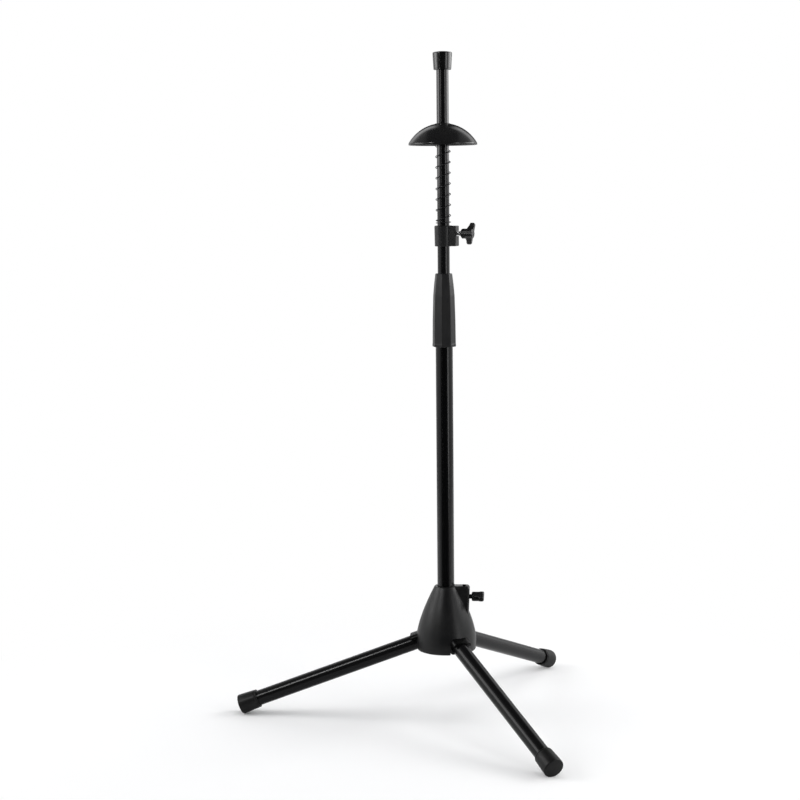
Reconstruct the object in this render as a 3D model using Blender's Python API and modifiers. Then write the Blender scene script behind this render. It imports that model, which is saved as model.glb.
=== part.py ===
"""Sprung trombone stand: folding tripod, telescoping mast, sliding collar and a bell dome on a spring.

Run with: blender --background --python part.py
Sizes are in millimetres and angles in degrees; the helpers turn them into Blender's metres.
The model is built around the mast axis with the floor at z = 0, then moved as a whole so that
the origin is the middle of its footprint.
"""
from math import atan2, cos, degrees, pi, radians, sin, sqrt, tan

import bmesh
import bpy
import numpy as np
from mathutils import Matrix, Vector

MM = 0.001

# Fits between pieces
GAP = 0.3                      # between pieces that touch, seat or slide on each other
FREE_GAP = 0.4                 # round the rod in the grip's and the dome's bores
CUT_PAST = 5.0                 # how far a cutter runs on past the face that it opens
ROUND_STEPS = 40               # facets round a large turned piece
SMALL_STEPS = 28               # facets round a small turned piece
HALF_FACET = 180 / ROUND_STEPS  # turn that keeps two round pieces' facet edges apart
PIN_STEPS = 14                 # facets round a pin or its hole
RIM_POINTS = 4                 # points on the hub rim's rounding

# Rod
ROD_RADIUS = 7.0
ROD_WALL = 1.2
ROD_LENGTH = 635.7
ROD_ABOVE_TUBE_END = 28.0      # rod's lower end above the main tube's, when pushed in
BUSH_LENGTH = 12.0
BUSH_SPIGOT_LENGTH = 10.0
BUSH_WALL = 2.0
BUSH_CHAMFER = 1.0
CAP_LENGTH = 20.9
CAP_MOUTH_WALL = 2.85
CAP_TOP_WALL = 3.95
CAP_END_WALL = 4.5
CAP_ROUNDING = 1.4
CAP_CROWN = 1.0                # how far the cap's top bulges

# Main tube and its end plug
CLUTCH_SPIGOT_WALL = 1.2       # between the rod and the main tube
MAIN_TUBE_WALL = 1.2
MAIN_TUBE_LENGTH = 358.0
PLUG_FLANGE_STEP = 2.0         # flange past the tube's outside
PLUG_FLANGE_THICKNESS = 4.0
PLUG_FLANGE_CHAMFER = 0.8
PLUG_SPIGOT_LENGTH = 12.0
PLUG_WALL = 2.5

# Clutch body and collet
CLUTCH_STEP = 0.6              # clutch body past the tube's outside
CLUTCH_SPIGOT_LENGTH = 30.0
CLUTCH_HEIGHT = 25.0
CLUTCH_SOCKET_DEPTH = 9.0
COLLET_WALL = 1.9
COLLET_NOSE_WALL = 1.0
COLLET_PARALLEL = 2.0          # clutch body's top to the foot of the collet's cone
COLLET_BAND = 7.0              # unslit band at the foot
COLLET_SLIT = 1.2

# Grip sleeve
GRIP_LENGTH = 85.0
GRIP_OVERLAP = 27.6            # how far it reaches down over the main tube
GRIP_END_WALL = 10.5           # solid nose above the collet
GRIP_TOP_WALL = 2.35
GRIP_TOP_ROUNDING = 1.0
GRIP_NOSE_SWELL = 0.2          # how far the nose swells half way down
GRIP_WAIST_STEP = 2.45         # waist past the main tube's outside
GRIP_WAIST_DROP = 26.4         # top to where the nose meets the body
GRIP_WAIST_EDGE = 1.5          # height of the softened edge at the waist
GRIP_BELLY_STEP = 3.2
GRIP_BELLY_DROP = 54.4
GRIP_FOOT_STEP = 3.5
GRIP_LIP = 0.2
GRIP_LIP_HEIGHT = 3.2
GRIP_LIP_ROUNDING = 0.8

# Legs
LEG_SLOPE = 20.55              # below the horizontal when spread
LEG_REACH = 239.8              # pivot to the end of the foot cap
LEG_TUBE_RADIUS = 9.0
LEG_TUBE_WALL = 1.2
LEG_TURNS = {"left": 180.0, "front": -60.0, "rear": 60.0}
LEG_TO_PLUG = 1.4              # folded leg's round end to the mast plug

# Leg knuckle: a round end, a shallow socket, a saddle over the tube and a plug inside it
KNUCKLE_STEP = 1.6             # knuckle's top past the tube's, and the radius of its round end
KNUCKLE_SHORT = 0.2            # tube's underside past the knuckle's
KNUCKLE_CHEEK = 2.2            # knuckle's side past the tube's
KNUCKLE_SOLID = 10.0           # pivot to the end of the leg tube
KNUCKLE_SOCKET = 0.9           # how deep the socket takes in the whole of the tube
KNUCKLE_SADDLE = 6.5           # saddle's length over the tube
KNUCKLE_SADDLE_RISE = 5.2      # leg's axis to the saddle's underside
KNUCKLE_PLUG = 19.0            # plug's length inside the tube
KNUCKLE_PLUG_CHAMFER = 1.0
KNUCKLE_ROUNDING = 5.0

# Pivot pins
PIN_RADIUS = 2.0
PIN_HEAD_STEP = 1.2
PIN_HEAD_THICKNESS = 1.2
PIN_HEAD_CHAMFER = 0.6

# Foot caps
FOOT_STEP = 2.7                # cap's widest part past the tube
FOOT_MOUTH_STEP = 1.7
FOOT_LENGTH = 23.5
FOOT_END_WALL = 3.5
FOOT_ROUNDING = 1.5
FOOT_DOME = 0.6                # how far the end face bulges
FOOT_FLAT = 0.5                # how deep the floor cuts the cap

# Hub
HUB_BELOW_PIVOT = 12.0
HUB_HEIGHT = 76.0
HUB_NECK_WALL = 3.4
HUB_TOP_ROUNDING = 0.8
HUB_SKIRT_PAST_PIVOT = 11.8
HUB_RIM_DRAW = 0.6             # how far the rim draws in from the skirt
HUB_SKIRT_HEIGHT = 9.5         # rim to the foot of the curved shoulder
HUB_SHOULDER_PULL = 22.9       # how far the shoulder's curve runs on straight up
HUB_RIM_ROUNDING = 1.6
HUB_WALL = 2.6
HUB_EAR = 3.2                  # wall between a leg slot and the hollow beside it
HUB_HOLLOW_HEIGHT = 41.0       # rim to the roof of the hollows between the slots
HUB_THROAT_HEIGHT = 29.8       # rim to the shoulder that stops the mast plug
HUB_THROAT_CLEARANCE = 0.7     # round the mast plug's flange, and past the lines where two slots meet
SLOT_START = 6.0               # mast axis to the inner end of a leg slot

# Hub lug
LUG_REACH = 14.7               # lug's face past the neck
LUG_TOP_HALF = 7.6
LUG_FOOT_HALF = 10.4
LUG_DEPTH = 37.0
LUG_RISE = 0.4                 # lug's top above the hub's
LUG_DRAW = 1.6                 # how far the lug's face draws in on the way down
LUG_ROUNDING = 2.4             # along the lug's sides
LUG_TOP_ROUNDING = 3.6         # between the lug's top and its face

# Collar
COLLAR_ABOVE_GRIP = 31.4       # bare rod below the collar; the rod's length shares out both bare stretches
DOME_BELOW_CAP = 60.4          # bare rod above the dome
COLLAR_HEIGHT = 23.8
COLLAR_TOP_WALL = 3.2
COLLAR_FOOT_WALL = 2.8
COLLAR_CHAMFER = 0.9
COLLAR_FOOT_CHAMFER = 0.4
COLLAR_TURN = -18.0            # the collar stands turned a little from the hub's lug
COLLAR_LUG_REACH = 9.8         # lug's face past the bore
COLLAR_LUG_HALF = 6.0
COLLAR_LUG_SINK = 0.2          # lug's ends inside the collar's
COLLAR_LUG_ROUNDING = 0.9
COLLAR_SCREW_DROP = 9.2        # collar top to the screw axis
INSERT_WALL = 0.8
INSERT_LENGTH = 4.4
INSERT_SINK = 1.5              # insert's end below the lug's face

# Clamping screws, alike on the hub and the collar
SCREW_RADIUS = 3.0
SCREW_CHAMFER = 0.6
PAD_THICKNESS = 2.4
PAD_CHAMFER = 0.4
HUB_SCREW_DROP = 13.0          # hub top to the screw axis
HUB_KNOB_STAND_OFF = 2.2       # lug face to knob
COLLAR_KNOB_STAND_OFF = 5.2
NUT_WIDTH = 10.0
NUT_THICKNESS = 3.2
NUT_CHAMFER = 0.5
NUT_WALL = 5.2                 # lug face to the nut
KNOB_LENGTH = 14.5
KNOB_RADIUS = 5.8
KNOB_FLUTES = 10
KNOB_FLUTE_DEPTH = 0.5
KNOB_BORE = 10.0
KNOB_CHAMFER = 1.1
WING_RADIUS = 13.5
WING_THICKNESS = 4.8
WING_TIP_WIDTH = 6.6
WING_TIP_HEIGHT = 3.5
WING_LEAN = 0.8                # how far a wing's tip draws in at its top
WING_ROOT = 5.0                # knob's inner end to the foot of the wings
WING_ROOT_HALF = 4.6
WING_PROUD = 0.3               # wings' outer face past the boss's
WING_THROAT = 4.0              # radius between wing and boss
WING_ROUNDING = 1.4
WING_OUTER_ROUNDING = 2.0
HUB_WING_TURN = -94.0          # wings' lean from upright, top to the front
COLLAR_WING_TURN = 30.0        # the other way, top to the back

# Spring
SPRING_WIRE_RADIUS = 0.55
SPRING_ROD_CLEARANCE = 0.8     # rod to the inside of the coil
SPRING_SPACE = 106.4           # collar top to the dome's boss
SPRING_TURNS = 10.35           # closed end turns included
SPRING_END_TURNS = 1.0
SPRING_END_PITCH = 1.75
SPRING_RAMP = 0.4              # turns over which the pitch opens
SPRING_START = 89.0            # where the first turn starts, seen from above
SPRING_POINTS = 10             # points round one turn
SPRING_BEND = 2.2              # radius of an end's bend, in wire radii
SPRING_TAIL = 2.0              # straight length past the bend, in wire radii

# Dome
DOME_RADIUS = 45.5
DOME_RIM_RADIUS = 39.5
DOME_LIP_HEIGHT = 2.2          # upright lip below the sphere
DOME_LIP_CHAMFER = 0.6
DOME_WALL = 2.2
DOME_BOSS_WALL = 3.4
DOME_BOSS_LENGTH = 10.2
DOME_NECK_WALL = 1.2
DOME_NECK_RISE = 0.5           # how far the boss stands out of the dome round the rod
DOME_NECK_CHAMFER = 0.4

# Radii that nest from the rod outwards
rod_bore = ROD_RADIUS - ROD_WALL
rod_hole = ROD_RADIUS + GAP
free_hole = ROD_RADIUS + FREE_GAP
spigot_radius = rod_hole + CLUTCH_SPIGOT_WALL
tube_bore = spigot_radius + GAP
tube_radius = tube_bore + MAIN_TUBE_WALL
flange_radius = tube_radius + PLUG_FLANGE_STEP
clutch_radius = tube_radius + CLUTCH_STEP
collet_radius = rod_hole + COLLET_WALL
collet_nose = rod_hole + COLLET_NOSE_WALL
bore_radius = tube_radius + GAP
neck_radius = bore_radius + HUB_NECK_WALL
collar_lug_face = rod_hole + COLLAR_LUG_REACH
insert_radius = SCREW_RADIUS + GAP + INSERT_WALL
spring_radius = ROD_RADIUS + SPRING_ROD_CLEARANCE + SPRING_WIRE_RADIUS

# Leg and hub places
knuckle_top = LEG_TUBE_RADIUS + KNUCKLE_STEP
knuckle_bottom = LEG_TUBE_RADIUS - KNUCKLE_SHORT
knuckle_half = LEG_TUBE_RADIUS + KNUCKLE_CHEEK
foot_radius = LEG_TUBE_RADIUS + FOOT_STEP
pivot_radius = flange_radius + LEG_TO_PLUG + knuckle_top
slope = radians(LEG_SLOPE)
pivot_height = ((LEG_REACH - FOOT_ROUNDING) * sin(slope) + (foot_radius - FOOT_ROUNDING) * cos(slope)
                + FOOT_ROUNDING - FOOT_FLAT)
skirt_radius = pivot_radius + HUB_SKIRT_PAST_PIVOT
hub_foot = pivot_height - HUB_BELOW_PIVOT
hub_top = hub_foot + HUB_HEIGHT
hub_throat = hub_foot + HUB_THROAT_HEIGHT
hub_screw_height = hub_top - HUB_SCREW_DROP
lug_face = neck_radius + LUG_REACH
nut_inside = lug_face - NUT_WALL - NUT_THICKNESS
slot_half = knuckle_half + GAP
slot_ceiling = knuckle_top + GAP
ear_outside = slot_half + HUB_EAR

# Heights up the mast
tube_foot = hub_throat
tube_top = tube_foot + MAIN_TUBE_LENGTH
clutch_foot = tube_top + GAP
clutch_top = clutch_foot + CLUTCH_HEIGHT
grip_foot = tube_top - GRIP_OVERLAP
grip_top = grip_foot + GRIP_LENGTH
collet_foot = clutch_top - CLUTCH_SOCKET_DEPTH + GAP
collet_top = grip_top - GRIP_END_WALL - GAP
rod_foot = tube_foot + ROD_ABOVE_TUBE_END
rod_top = rod_foot + ROD_LENGTH
cap_mouth = rod_top + GAP + CAP_END_WALL - CAP_LENGTH
bare_rod = cap_mouth - grip_top - COLLAR_HEIGHT - SPRING_SPACE - DOME_BOSS_LENGTH
collar_foot = grip_top + bare_rod * COLLAR_ABOVE_GRIP / (COLLAR_ABOVE_GRIP + DOME_BELOW_CAP)
collar_top = collar_foot + COLLAR_HEIGHT
collar_screw_height = collar_top - COLLAR_SCREW_DROP
boss_foot = collar_top + SPRING_SPACE
dome_top = boss_foot + DOME_BOSS_LENGTH

# Turns a plate so that its thickness lies along X and its outline in Y and Z
UPRIGHT = Matrix(((0, 0, 1, 0), (1, 0, 0, 0), (0, 1, 0, 0), (0, 0, 0, 1)))


def scene_collection(name):
    """Return a new collection linked to the scene."""
    collection = bpy.data.collections.new(name)
    bpy.context.scene.collection.children.link(collection)
    return collection


for old in list(bpy.data.objects):
    bpy.data.objects.remove(old, do_unlink=True)
parts = scene_collection("trombone_stand")
cutters = scene_collection("cutters")


def material(name, colour, roughness, metallic=0.0):
    """Make a Principled material with the piece's own colour, roughness and metallic value."""
    made = bpy.data.materials.new(name)
    made.use_nodes = True
    shader = made.node_tree.nodes["Principled BSDF"]
    shader.inputs["Base Color"].default_value = (*colour, 1.0)
    shader.inputs["Roughness"].default_value = roughness
    shader.inputs["Metallic"].default_value = metallic
    return made


def finish(thing, made_of):
    """Give an object its material and smooth shading with sharp edges kept."""
    mesh = thing.data
    mesh.materials.clear()
    mesh.materials.append(made_of)
    mesh.shade_smooth()
    mesh.set_sharp_from_angle(angle=radians(30))
    return thing


def empty(name, matrix, parent=None):
    """Place an empty that stands for a body or a joint axis."""
    holder = bpy.data.objects.new(name, None)
    holder.empty_display_size = 0.02
    parts.objects.link(holder)
    holder.parent = parent
    holder.matrix_basis = matrix
    return holder


def place(x=0.0, y=0.0, z=0.0, turn=0.0, tilt=0.0):
    """Matrix of a place in millimetres, turned about Z and then tilted nose down about its own Y."""
    spot = Matrix.Translation(Vector((x, y, z)) * MM)
    return spot @ Matrix.Rotation(radians(turn), 4, "Z") @ Matrix.Rotation(radians(tilt), 4, "Y")


def mesh_object(name, verts, edges=(), faces=()):
    """Make a mesh object from points in millimetres."""
    mesh = bpy.data.meshes.new(name)
    mesh.from_pydata([Vector(v) * MM for v in verts], list(edges), list(faces))
    return bpy.data.objects.new(name, mesh)


def turned(name, profile, ring=False, steps=ROUND_STEPS):
    """Turn a profile of (radius, height) about Z.

    The profile runs down its outer side, and a ring's comes back up inside.
    """
    count = len(profile)
    edges = [(i, i + 1) for i in range(count - 1)]
    if ring:
        edges.append((count - 1, 0))
    thing = mesh_object(name, [(r, 0.0, z) for r, z in profile], edges)
    screw = thing.modifiers.new("turn", "SCREW")
    screw.axis = "Z"
    screw.angle = 2 * pi
    screw.steps = steps
    screw.render_steps = steps
    screw.use_merge_vertices = True
    screw.merge_threshold = 0.00001
    return thing


def arc(cx, cy, radius, start, end, points):
    """Points of an arc about (cx, cy), from one angle to another in degrees."""
    turns = np.radians(np.linspace(start, end, points))
    return [(cx + radius * cos(t), cy + radius * sin(t)) for t in turns]


def rounded(corners, segments=3):
    """Outline through (x, y, radius) corners, each turned into an arc of its own radius."""
    outline = []
    for i, (x, y, radius) in enumerate(corners):
        here = Vector((x, y))
        if radius <= 0:
            outline.append((x, y))
            continue
        before = (Vector(corners[i - 1][:2]) - here).normalized()
        after = (Vector(corners[(i + 1) % len(corners)][:2]) - here).normalized()
        half = before.angle(after) / 2
        centre = here + (before + after).normalized() * radius / sin(half)
        first = here + before * radius / tan(half) - centre
        last = here + after * radius / tan(half) - centre
        start = atan2(first.y, first.x)
        sweep = atan2(last.y, last.x) - start
        sweep = (sweep + pi) % (2 * pi) - pi
        for k in range(segments + 1):
            t = start + sweep * k / segments
            outline.append((centre.x + radius * cos(t), centre.y + radius * sin(t)))
    return outline


def baked(thing):
    """Turn an object with modifiers, or a curve, into a plain mesh object with its caps welded."""
    if not thing.users_collection:
        cutters.objects.link(thing)
    graph = bpy.context.evaluated_depsgraph_get()
    graph.update()
    mesh = bpy.data.meshes.new_from_object(thing.evaluated_get(graph))
    work = bmesh.new()
    work.from_mesh(mesh)
    bmesh.ops.remove_doubles(work, verts=work.verts, dist=0.000005)
    work.to_mesh(mesh)
    work.free()
    mesh.name = thing.name
    solid = bpy.data.objects.new(thing.name, mesh)
    solid.matrix_world = thing.matrix_world
    name = thing.name
    source = thing.data
    bpy.data.objects.remove(thing, do_unlink=True)
    if isinstance(source, bpy.types.Curve):
        bpy.data.curves.remove(source)
    solid.name = name
    return solid


def plate(name, outline, thickness):
    """Flat outline in X and Y with its thickness shared between +Z and -Z."""
    curve = bpy.data.curves.new(name, "CURVE")
    curve.dimensions = "2D"
    curve.fill_mode = "BOTH"
    curve.extrude = thickness / 2 * MM
    line = curve.splines.new("POLY")
    line.points.add(len(outline) - 1)
    for point, (x, y) in zip(line.points, outline):
        point.co = (x * MM, y * MM, 0.0, 1.0)
    line.use_cyclic_u = True
    solid = baked(bpy.data.objects.new(name, curve))
    work = bmesh.new()
    work.from_mesh(solid.data)
    bmesh.ops.dissolve_limit(work, angle_limit=radians(0.5), verts=work.verts, edges=work.edges)
    work.to_mesh(solid.data)
    work.free()
    return solid


def moved(thing, matrix):
    """Move an object's mesh itself, so that its origin stays where it is."""
    thing.data.transform(matrix)
    return thing


def rod_along_x(name, radius, start, end, steps=SMALL_STEPS):
    """Solid cylinder on the X axis between two places."""
    mesh = bpy.data.meshes.new(name)
    work = bmesh.new()
    bmesh.ops.create_cone(work, cap_ends=True, segments=steps, radius1=radius * MM, radius2=radius * MM,
                          depth=(end - start) * MM)
    work.to_mesh(mesh)
    work.free()
    middle = Matrix.Translation(((start + end) / 2 * MM, 0.0, 0.0))
    return moved(bpy.data.objects.new(name, mesh), middle @ Matrix.Rotation(pi / 2, 4, "Y"))


def block(name, low, high):
    """Box between two corners."""
    mesh = bpy.data.meshes.new(name)
    work = bmesh.new()
    bmesh.ops.create_cube(work, size=MM)
    work.to_mesh(mesh)
    work.free()
    size = [b - a for a, b in zip(low, high)]
    middle = Vector([(a + b) / 2 for a, b in zip(low, high)]) * MM
    shape = Matrix.Translation(middle) @ Matrix.Diagonal((*size, 1.0))
    return moved(bpy.data.objects.new(name, mesh), shape)


def boolean(thing, operation, tool):
    """Add a Boolean with a tool object, which goes to the cutters under the same parent."""
    if not tool.users_collection:
        cutters.objects.link(tool)
    tool.hide_render = True
    tool.display_type = "WIRE"
    step = thing.modifiers.new(tool.name, "BOOLEAN")
    step.operation = operation
    step.object = tool
    return thing


def cut(thing, *tools):
    """Cut each tool's shape out of an object."""
    for tool in tools:
        boolean(thing, "DIFFERENCE", tool)
    return thing


def bevel(thing, width, segments=2, angle=40):
    """Round the edges that turn by more than an angle."""
    step = thing.modifiers.new("rounding", "BEVEL")
    step.width = width * MM
    step.segments = segments
    step.limit_method = "ANGLE"
    step.angle_limit = radians(angle)
    step.use_clamp_overlap = True
    return thing


def put(thing, parent, made_of, matrix=None):
    """Link a finished piece and its cutters to the part, under its body's empty."""
    tools = [step.object for step in thing.modifiers if step.type == "BOOLEAN"]
    for tool in tools:
        tools.extend(step.object for step in tool.modifiers if step.type == "BOOLEAN")
    for item in [thing, *tools]:
        item.parent = parent
        if matrix is not None:
            item.matrix_basis = matrix @ item.matrix_basis
    if parts not in thing.users_collection:
        parts.objects.link(thing)
    finish(thing, made_of)
    return thing


black_plastic = material("moulded_black_plastic", (0.022, 0.022, 0.023), 0.42)
matte_plastic = material("matte_black_plastic", (0.035, 0.035, 0.037), 0.6)
gloss_black = material("gloss_black_lacquer", (0.006, 0.006, 0.007), 0.18)
rubber = material("black_rubber", (0.016, 0.016, 0.016), 0.7)
steel = material("bright_zinc_steel", (0.62, 0.62, 0.6), 0.3, 1.0)
brass = material("turned_brass", (0.7, 0.52, 0.26), 0.3, 1.0)
black_wire = material("blackened_spring_wire", (0.03, 0.03, 0.032), 0.38, 0.6)
nylon = material("natural_nylon", (0.55, 0.54, 0.5), 0.5)

stand = empty("stand", Matrix.Identity(4))
hub_body = empty("hub", place(), stand)
mast_body = empty("mast", place(), stand)
rod_body = empty("rod", place(), mast_body)
collar_body = empty("collar", place(), rod_body)
collar_side = empty("collar_screw_side", place(turn=COLLAR_TURN), collar_body)
dome_body = empty("dome", place(), collar_body)


def hub_outline():
    """Hub's outer profile: rounded top, a shoulder that is a quadratic curve, a skirt and a rounded rim."""
    start = Vector((neck_radius, hub_top - HUB_TOP_ROUNDING))
    end = Vector((skirt_radius, hub_foot + HUB_SKIRT_HEIGHT))
    pull = end + Vector((0.0, HUB_SHOULDER_PULL))
    points = [(neck_radius - HUB_TOP_ROUNDING, hub_top)]
    for t in np.linspace(0, 1, 11):
        spot = start * (1 - t) ** 2 + pull * 2 * t * (1 - t) + end * t ** 2
        points.append((spot.x, spot.y))
    rim = skirt_radius - HUB_RIM_DRAW - HUB_RIM_ROUNDING
    return points + arc(rim, hub_foot + HUB_RIM_ROUNDING, HUB_RIM_ROUNDING, 0, -90, RIM_POINTS)


def leg_slot(name, turn):
    """Cutter for a leg's arched slot: the arch runs along the spread leg and is open below."""
    corner = KNUCKLE_ROUNDING + GAP
    reach = 2 * skirt_radius
    arch = rounded([(-slot_half, -reach, 0), (slot_half, -reach, 0),
                    (slot_half, slot_ceiling, corner), (-slot_half, slot_ceiling, corner)], 4)
    tool = plate(name, arch, reach)
    along = Matrix.Translation(((SLOT_START + reach / 2) * MM, 0, 0))
    meeting_height = pivot_height + pivot_radius * tan(slope)
    return moved(tool, place(z=meeting_height, turn=turn, tilt=LEG_SLOPE) @ along @ UPRIGHT)


def hub_hollow(name, turn):
    """Cutter for the hollow between two leg slots: a wedge trimmed to the hub's outline less its wall."""
    roof = hub_foot + HUB_HOLLOW_HEIGHT
    apex = ear_outside / sin(radians(60))
    reach = 2 * skirt_radius
    spread = reach * tan(radians(60)) - ear_outside / cos(radians(60))
    wedge = [(apex, 0.0), (reach, -spread), (reach, spread)]
    height = roof - hub_foot + CUT_PAST
    tool = moved(plate(name, wedge, height), place(z=roof - height / 2, turn=turn))
    highest = roof + 2 * CUT_PAST
    upright = hub_outline()[:1 - RIM_POINTS]
    inside = [(r - HUB_WALL, z) for r, z in upright if z < highest]
    floor = hub_foot - 2 * CUT_PAST
    core = [(0.0, inside[0][1])] + inside + [(inside[-1][0], floor), (0.0, floor)]
    boolean(tool, "INTERSECT", turned(name + "_core", core))
    return tool


def hub_lug():
    """Screw lug: its side view as a plate, widened towards its foot, with rounded edges."""
    start = tube_radius / 2
    side = rounded([(start, LUG_RISE, 0), (lug_face, LUG_RISE, LUG_TOP_ROUNDING),
                    (lug_face - LUG_DRAW, -LUG_DEPTH, 0), (start, -LUG_DEPTH, 0)], 4)
    lug = plate("hub_lug", side, 2 * LUG_TOP_HALF)
    widening = LUG_FOOT_HALF / LUG_TOP_HALF - 1
    for point in lug.data.vertices:
        point.co.z *= 1 - widening * point.co.y / (LUG_DEPTH * MM)
    moved(lug, place(z=hub_top) @ Matrix.Rotation(pi / 2, 4, "X"))
    return bevel(lug, LUG_ROUNDING, 3, 60)


def make_hub():
    """Moulded hub housing with its lug, throat, slots, hollows, pin holes and nut pocket."""
    outline = [(0.0, hub_top)] + hub_outline() + [(0.0, hub_foot)]
    hub = moved(turned("hub_housing", outline), place(turn=HALF_FACET))
    boolean(hub, "UNION", hub_lug())
    slots_meet = slot_half / sin(radians(60))
    throat = max(flange_radius, slots_meet) + HUB_THROAT_CLEARANCE
    above = hub_top + CUT_PAST
    below = hub_foot - CUT_PAST
    core = turned("hub_throat", [(0.0, above), (bore_radius, above), (bore_radius, hub_throat),
                                 (throat, hub_throat), (throat, below), (0.0, below)])
    cut(hub, moved(core, place(turn=HALF_FACET / 2)))
    for side, turn in LEG_TURNS.items():
        cut(hub, leg_slot("slot_" + side, turn))
    for side, turn in LEG_TURNS.items():
        cut(hub, hub_hollow("hollow_opposite_" + side, turn + 180))
    for side, turn in LEG_TURNS.items():
        reach = ear_outside + CUT_PAST
        hole = rod_along_x("pin_hole_" + side, PIN_RADIUS + GAP, -reach, reach, PIN_STEPS)
        cut(hub, moved(hole, place(turn=turn) @ place(x=pivot_radius, z=pivot_height, turn=90)))
    half = NUT_WIDTH / 2 + GAP
    pocket = block("nut_pocket", (nut_inside - GAP, -half, hub_screw_height - half),
                   (nut_inside + NUT_THICKNESS + GAP, half, above))
    hole = rod_along_x("hub_screw_hole", SCREW_RADIUS + GAP, tube_radius - HUB_NECK_WALL, lug_face + CUT_PAST)
    cut(hub, pocket, moved(hole, place(z=hub_screw_height)))
    put(hub, hub_body, black_plastic)


def make_square_nut():
    """Captive square nut in the lug's pocket."""
    outside = nut_inside + NUT_THICKNESS
    half = NUT_WIDTH / 2
    nut = block("hub_square_nut", (nut_inside, -half, -half), (outside, half, half))
    bevel(nut, NUT_CHAMFER, 1)
    cut(nut, rod_along_x("nut_thread", SCREW_RADIUS + GAP, nut_inside - CUT_PAST, outside + CUT_PAST))
    put(nut, hub_body, steel, place(z=hub_screw_height))


def make_pad(name, bearing_radius, parent, height):
    """Brass pressure pad between a screw's tip and the tube that it clamps."""
    start = bearing_radius + GAP
    pad = rod_along_x(name, SCREW_RADIUS, start, start + PAD_THICKNESS)
    put(bevel(pad, PAD_CHAMFER, 1), parent, brass, place(z=height))


def make_stud(name, bearing_radius, knob_start, parent, height):
    """Threaded stud from its pad to the bottom of the knob's bore."""
    start = bearing_radius + PAD_THICKNESS + 2 * GAP
    stud = rod_along_x(name, SCREW_RADIUS, start, knob_start + KNOB_BORE - GAP)
    put(bevel(stud, SCREW_CHAMFER, 1), parent, steel, place(z=height))


def knob_mesh():
    """Wing knob on the X axis from its inner end: fluted boss, tee-shaped wings, blind bore for the stud."""
    turns = np.linspace(0, 2 * pi, KNOB_FLUTES * 4, endpoint=False)
    radius = KNOB_RADIUS - KNOB_FLUTE_DEPTH / 2 * (1 - np.cos(KNOB_FLUTES * turns))
    boss_length = KNOB_LENGTH - WING_PROUD
    boss = plate("knob_boss", list(zip(radius * np.cos(turns), radius * np.sin(turns))), boss_length)
    moved(boss, place(x=boss_length / 2, tilt=90))
    bevel(boss, KNOB_CHAMFER, 1, 60)
    tip_start = KNOB_LENGTH - WING_TIP_WIDTH
    half = rounded([(WING_ROOT, 0, 0), (WING_ROOT, WING_ROOT_HALF, 0),
                    (tip_start, WING_RADIUS - WING_TIP_HEIGHT, WING_THROAT),
                    (tip_start + WING_LEAN, WING_RADIUS, WING_ROUNDING),
                    (KNOB_LENGTH, WING_RADIUS, WING_OUTER_ROUNDING), (KNOB_LENGTH, 0, 0)])[1:-1]
    outline = half + [(x, -y) for x, y in reversed(half)]
    wings = plate("knob_wings", outline, WING_THICKNESS)
    boolean(boss, "UNION", baked(bevel(wings, WING_ROUNDING, 2, 60)))
    cut(boss, rod_along_x("knob_bore", SCREW_RADIUS + GAP, -CUT_PAST, KNOB_BORE))
    return baked(boss).data


def make_knob(name, shape, start, turn, parent, height):
    """Place a wing knob with its origin on the screw's axis."""
    knob = bpy.data.objects.new(name, shape)
    lean = Matrix.Rotation(radians(90 - turn), 4, "X")
    put(knob, parent, black_plastic, place(x=start, z=height) @ lean)


def knuckle_mesh():
    """Leg's pivot end along X: round end about the pin, rounded flanks, socket, saddle and plug."""
    low = degrees(atan2(knuckle_bottom, sqrt(knuckle_top ** 2 - knuckle_bottom ** 2)))
    near = KNUCKLE_SOLID - GAP
    cheek_end = near + KNUCKLE_SOCKET
    saddle_end = near + KNUCKLE_SADDLE
    side = arc(0, 0, knuckle_top, 90, 180 + low, 12)
    side += [(cheek_end, -knuckle_bottom), (cheek_end, KNUCKLE_SADDLE_RISE),
             (saddle_end, KNUCKLE_SADDLE_RISE), (saddle_end, knuckle_top)]
    knuckle = plate("leg_knuckle", side, 2 * knuckle_half)
    work = bmesh.new()
    work.from_mesh(knuckle.data)
    end = cheek_end * MM - 1e-6
    flank = knuckle_half * MM - 1e-6
    edges = [edge for edge in work.edges
             if min(abs(v.co.z) for v in edge.verts) > flank
             and edge.verts[0].co.z * edge.verts[1].co.z > 0
             and min(v.co.x for v in edge.verts) < end
             and edge.calc_face_angle() > radians(60)]
    bmesh.ops.bevel(work, geom=edges, offset=KNUCKLE_ROUNDING * MM, segments=4, profile=0.5,
                    affect="EDGES", clamp_overlap=True)
    work.to_mesh(knuckle.data)
    work.free()
    moved(knuckle, Matrix.Rotation(pi / 2, 4, "X"))
    seat = rod_along_x("tube_seat", LEG_TUBE_RADIUS + GAP, near, saddle_end + CUT_PAST)
    reach = knuckle_half + CUT_PAST
    hole = rod_along_x("knuckle_pin_hole", PIN_RADIUS + GAP, -reach, reach, PIN_STEPS)
    cut(knuckle, seat, moved(hole, Matrix.Rotation(pi / 2, 4, "Z")))
    plug = LEG_TUBE_RADIUS - LEG_TUBE_WALL - GAP
    start = near - KNUCKLE_SOCKET
    tip = near + KNUCKLE_PLUG
    inside = turned("knuckle_plug", [(0.0, tip), (plug - KNUCKLE_PLUG_CHAMFER, tip),
                                     (plug, tip - KNUCKLE_PLUG_CHAMFER), (plug, start), (0.0, start)],
                    False, SMALL_STEPS)
    boolean(knuckle, "UNION", along_leg(inside))
    return baked(knuckle).data


def along_leg(thing):
    """Turn a piece made upright, foot end at the top, so that it lies along the leg's X axis."""
    return moved(baked(thing), Matrix.Rotation(pi / 2, 4, "Y"))


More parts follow.
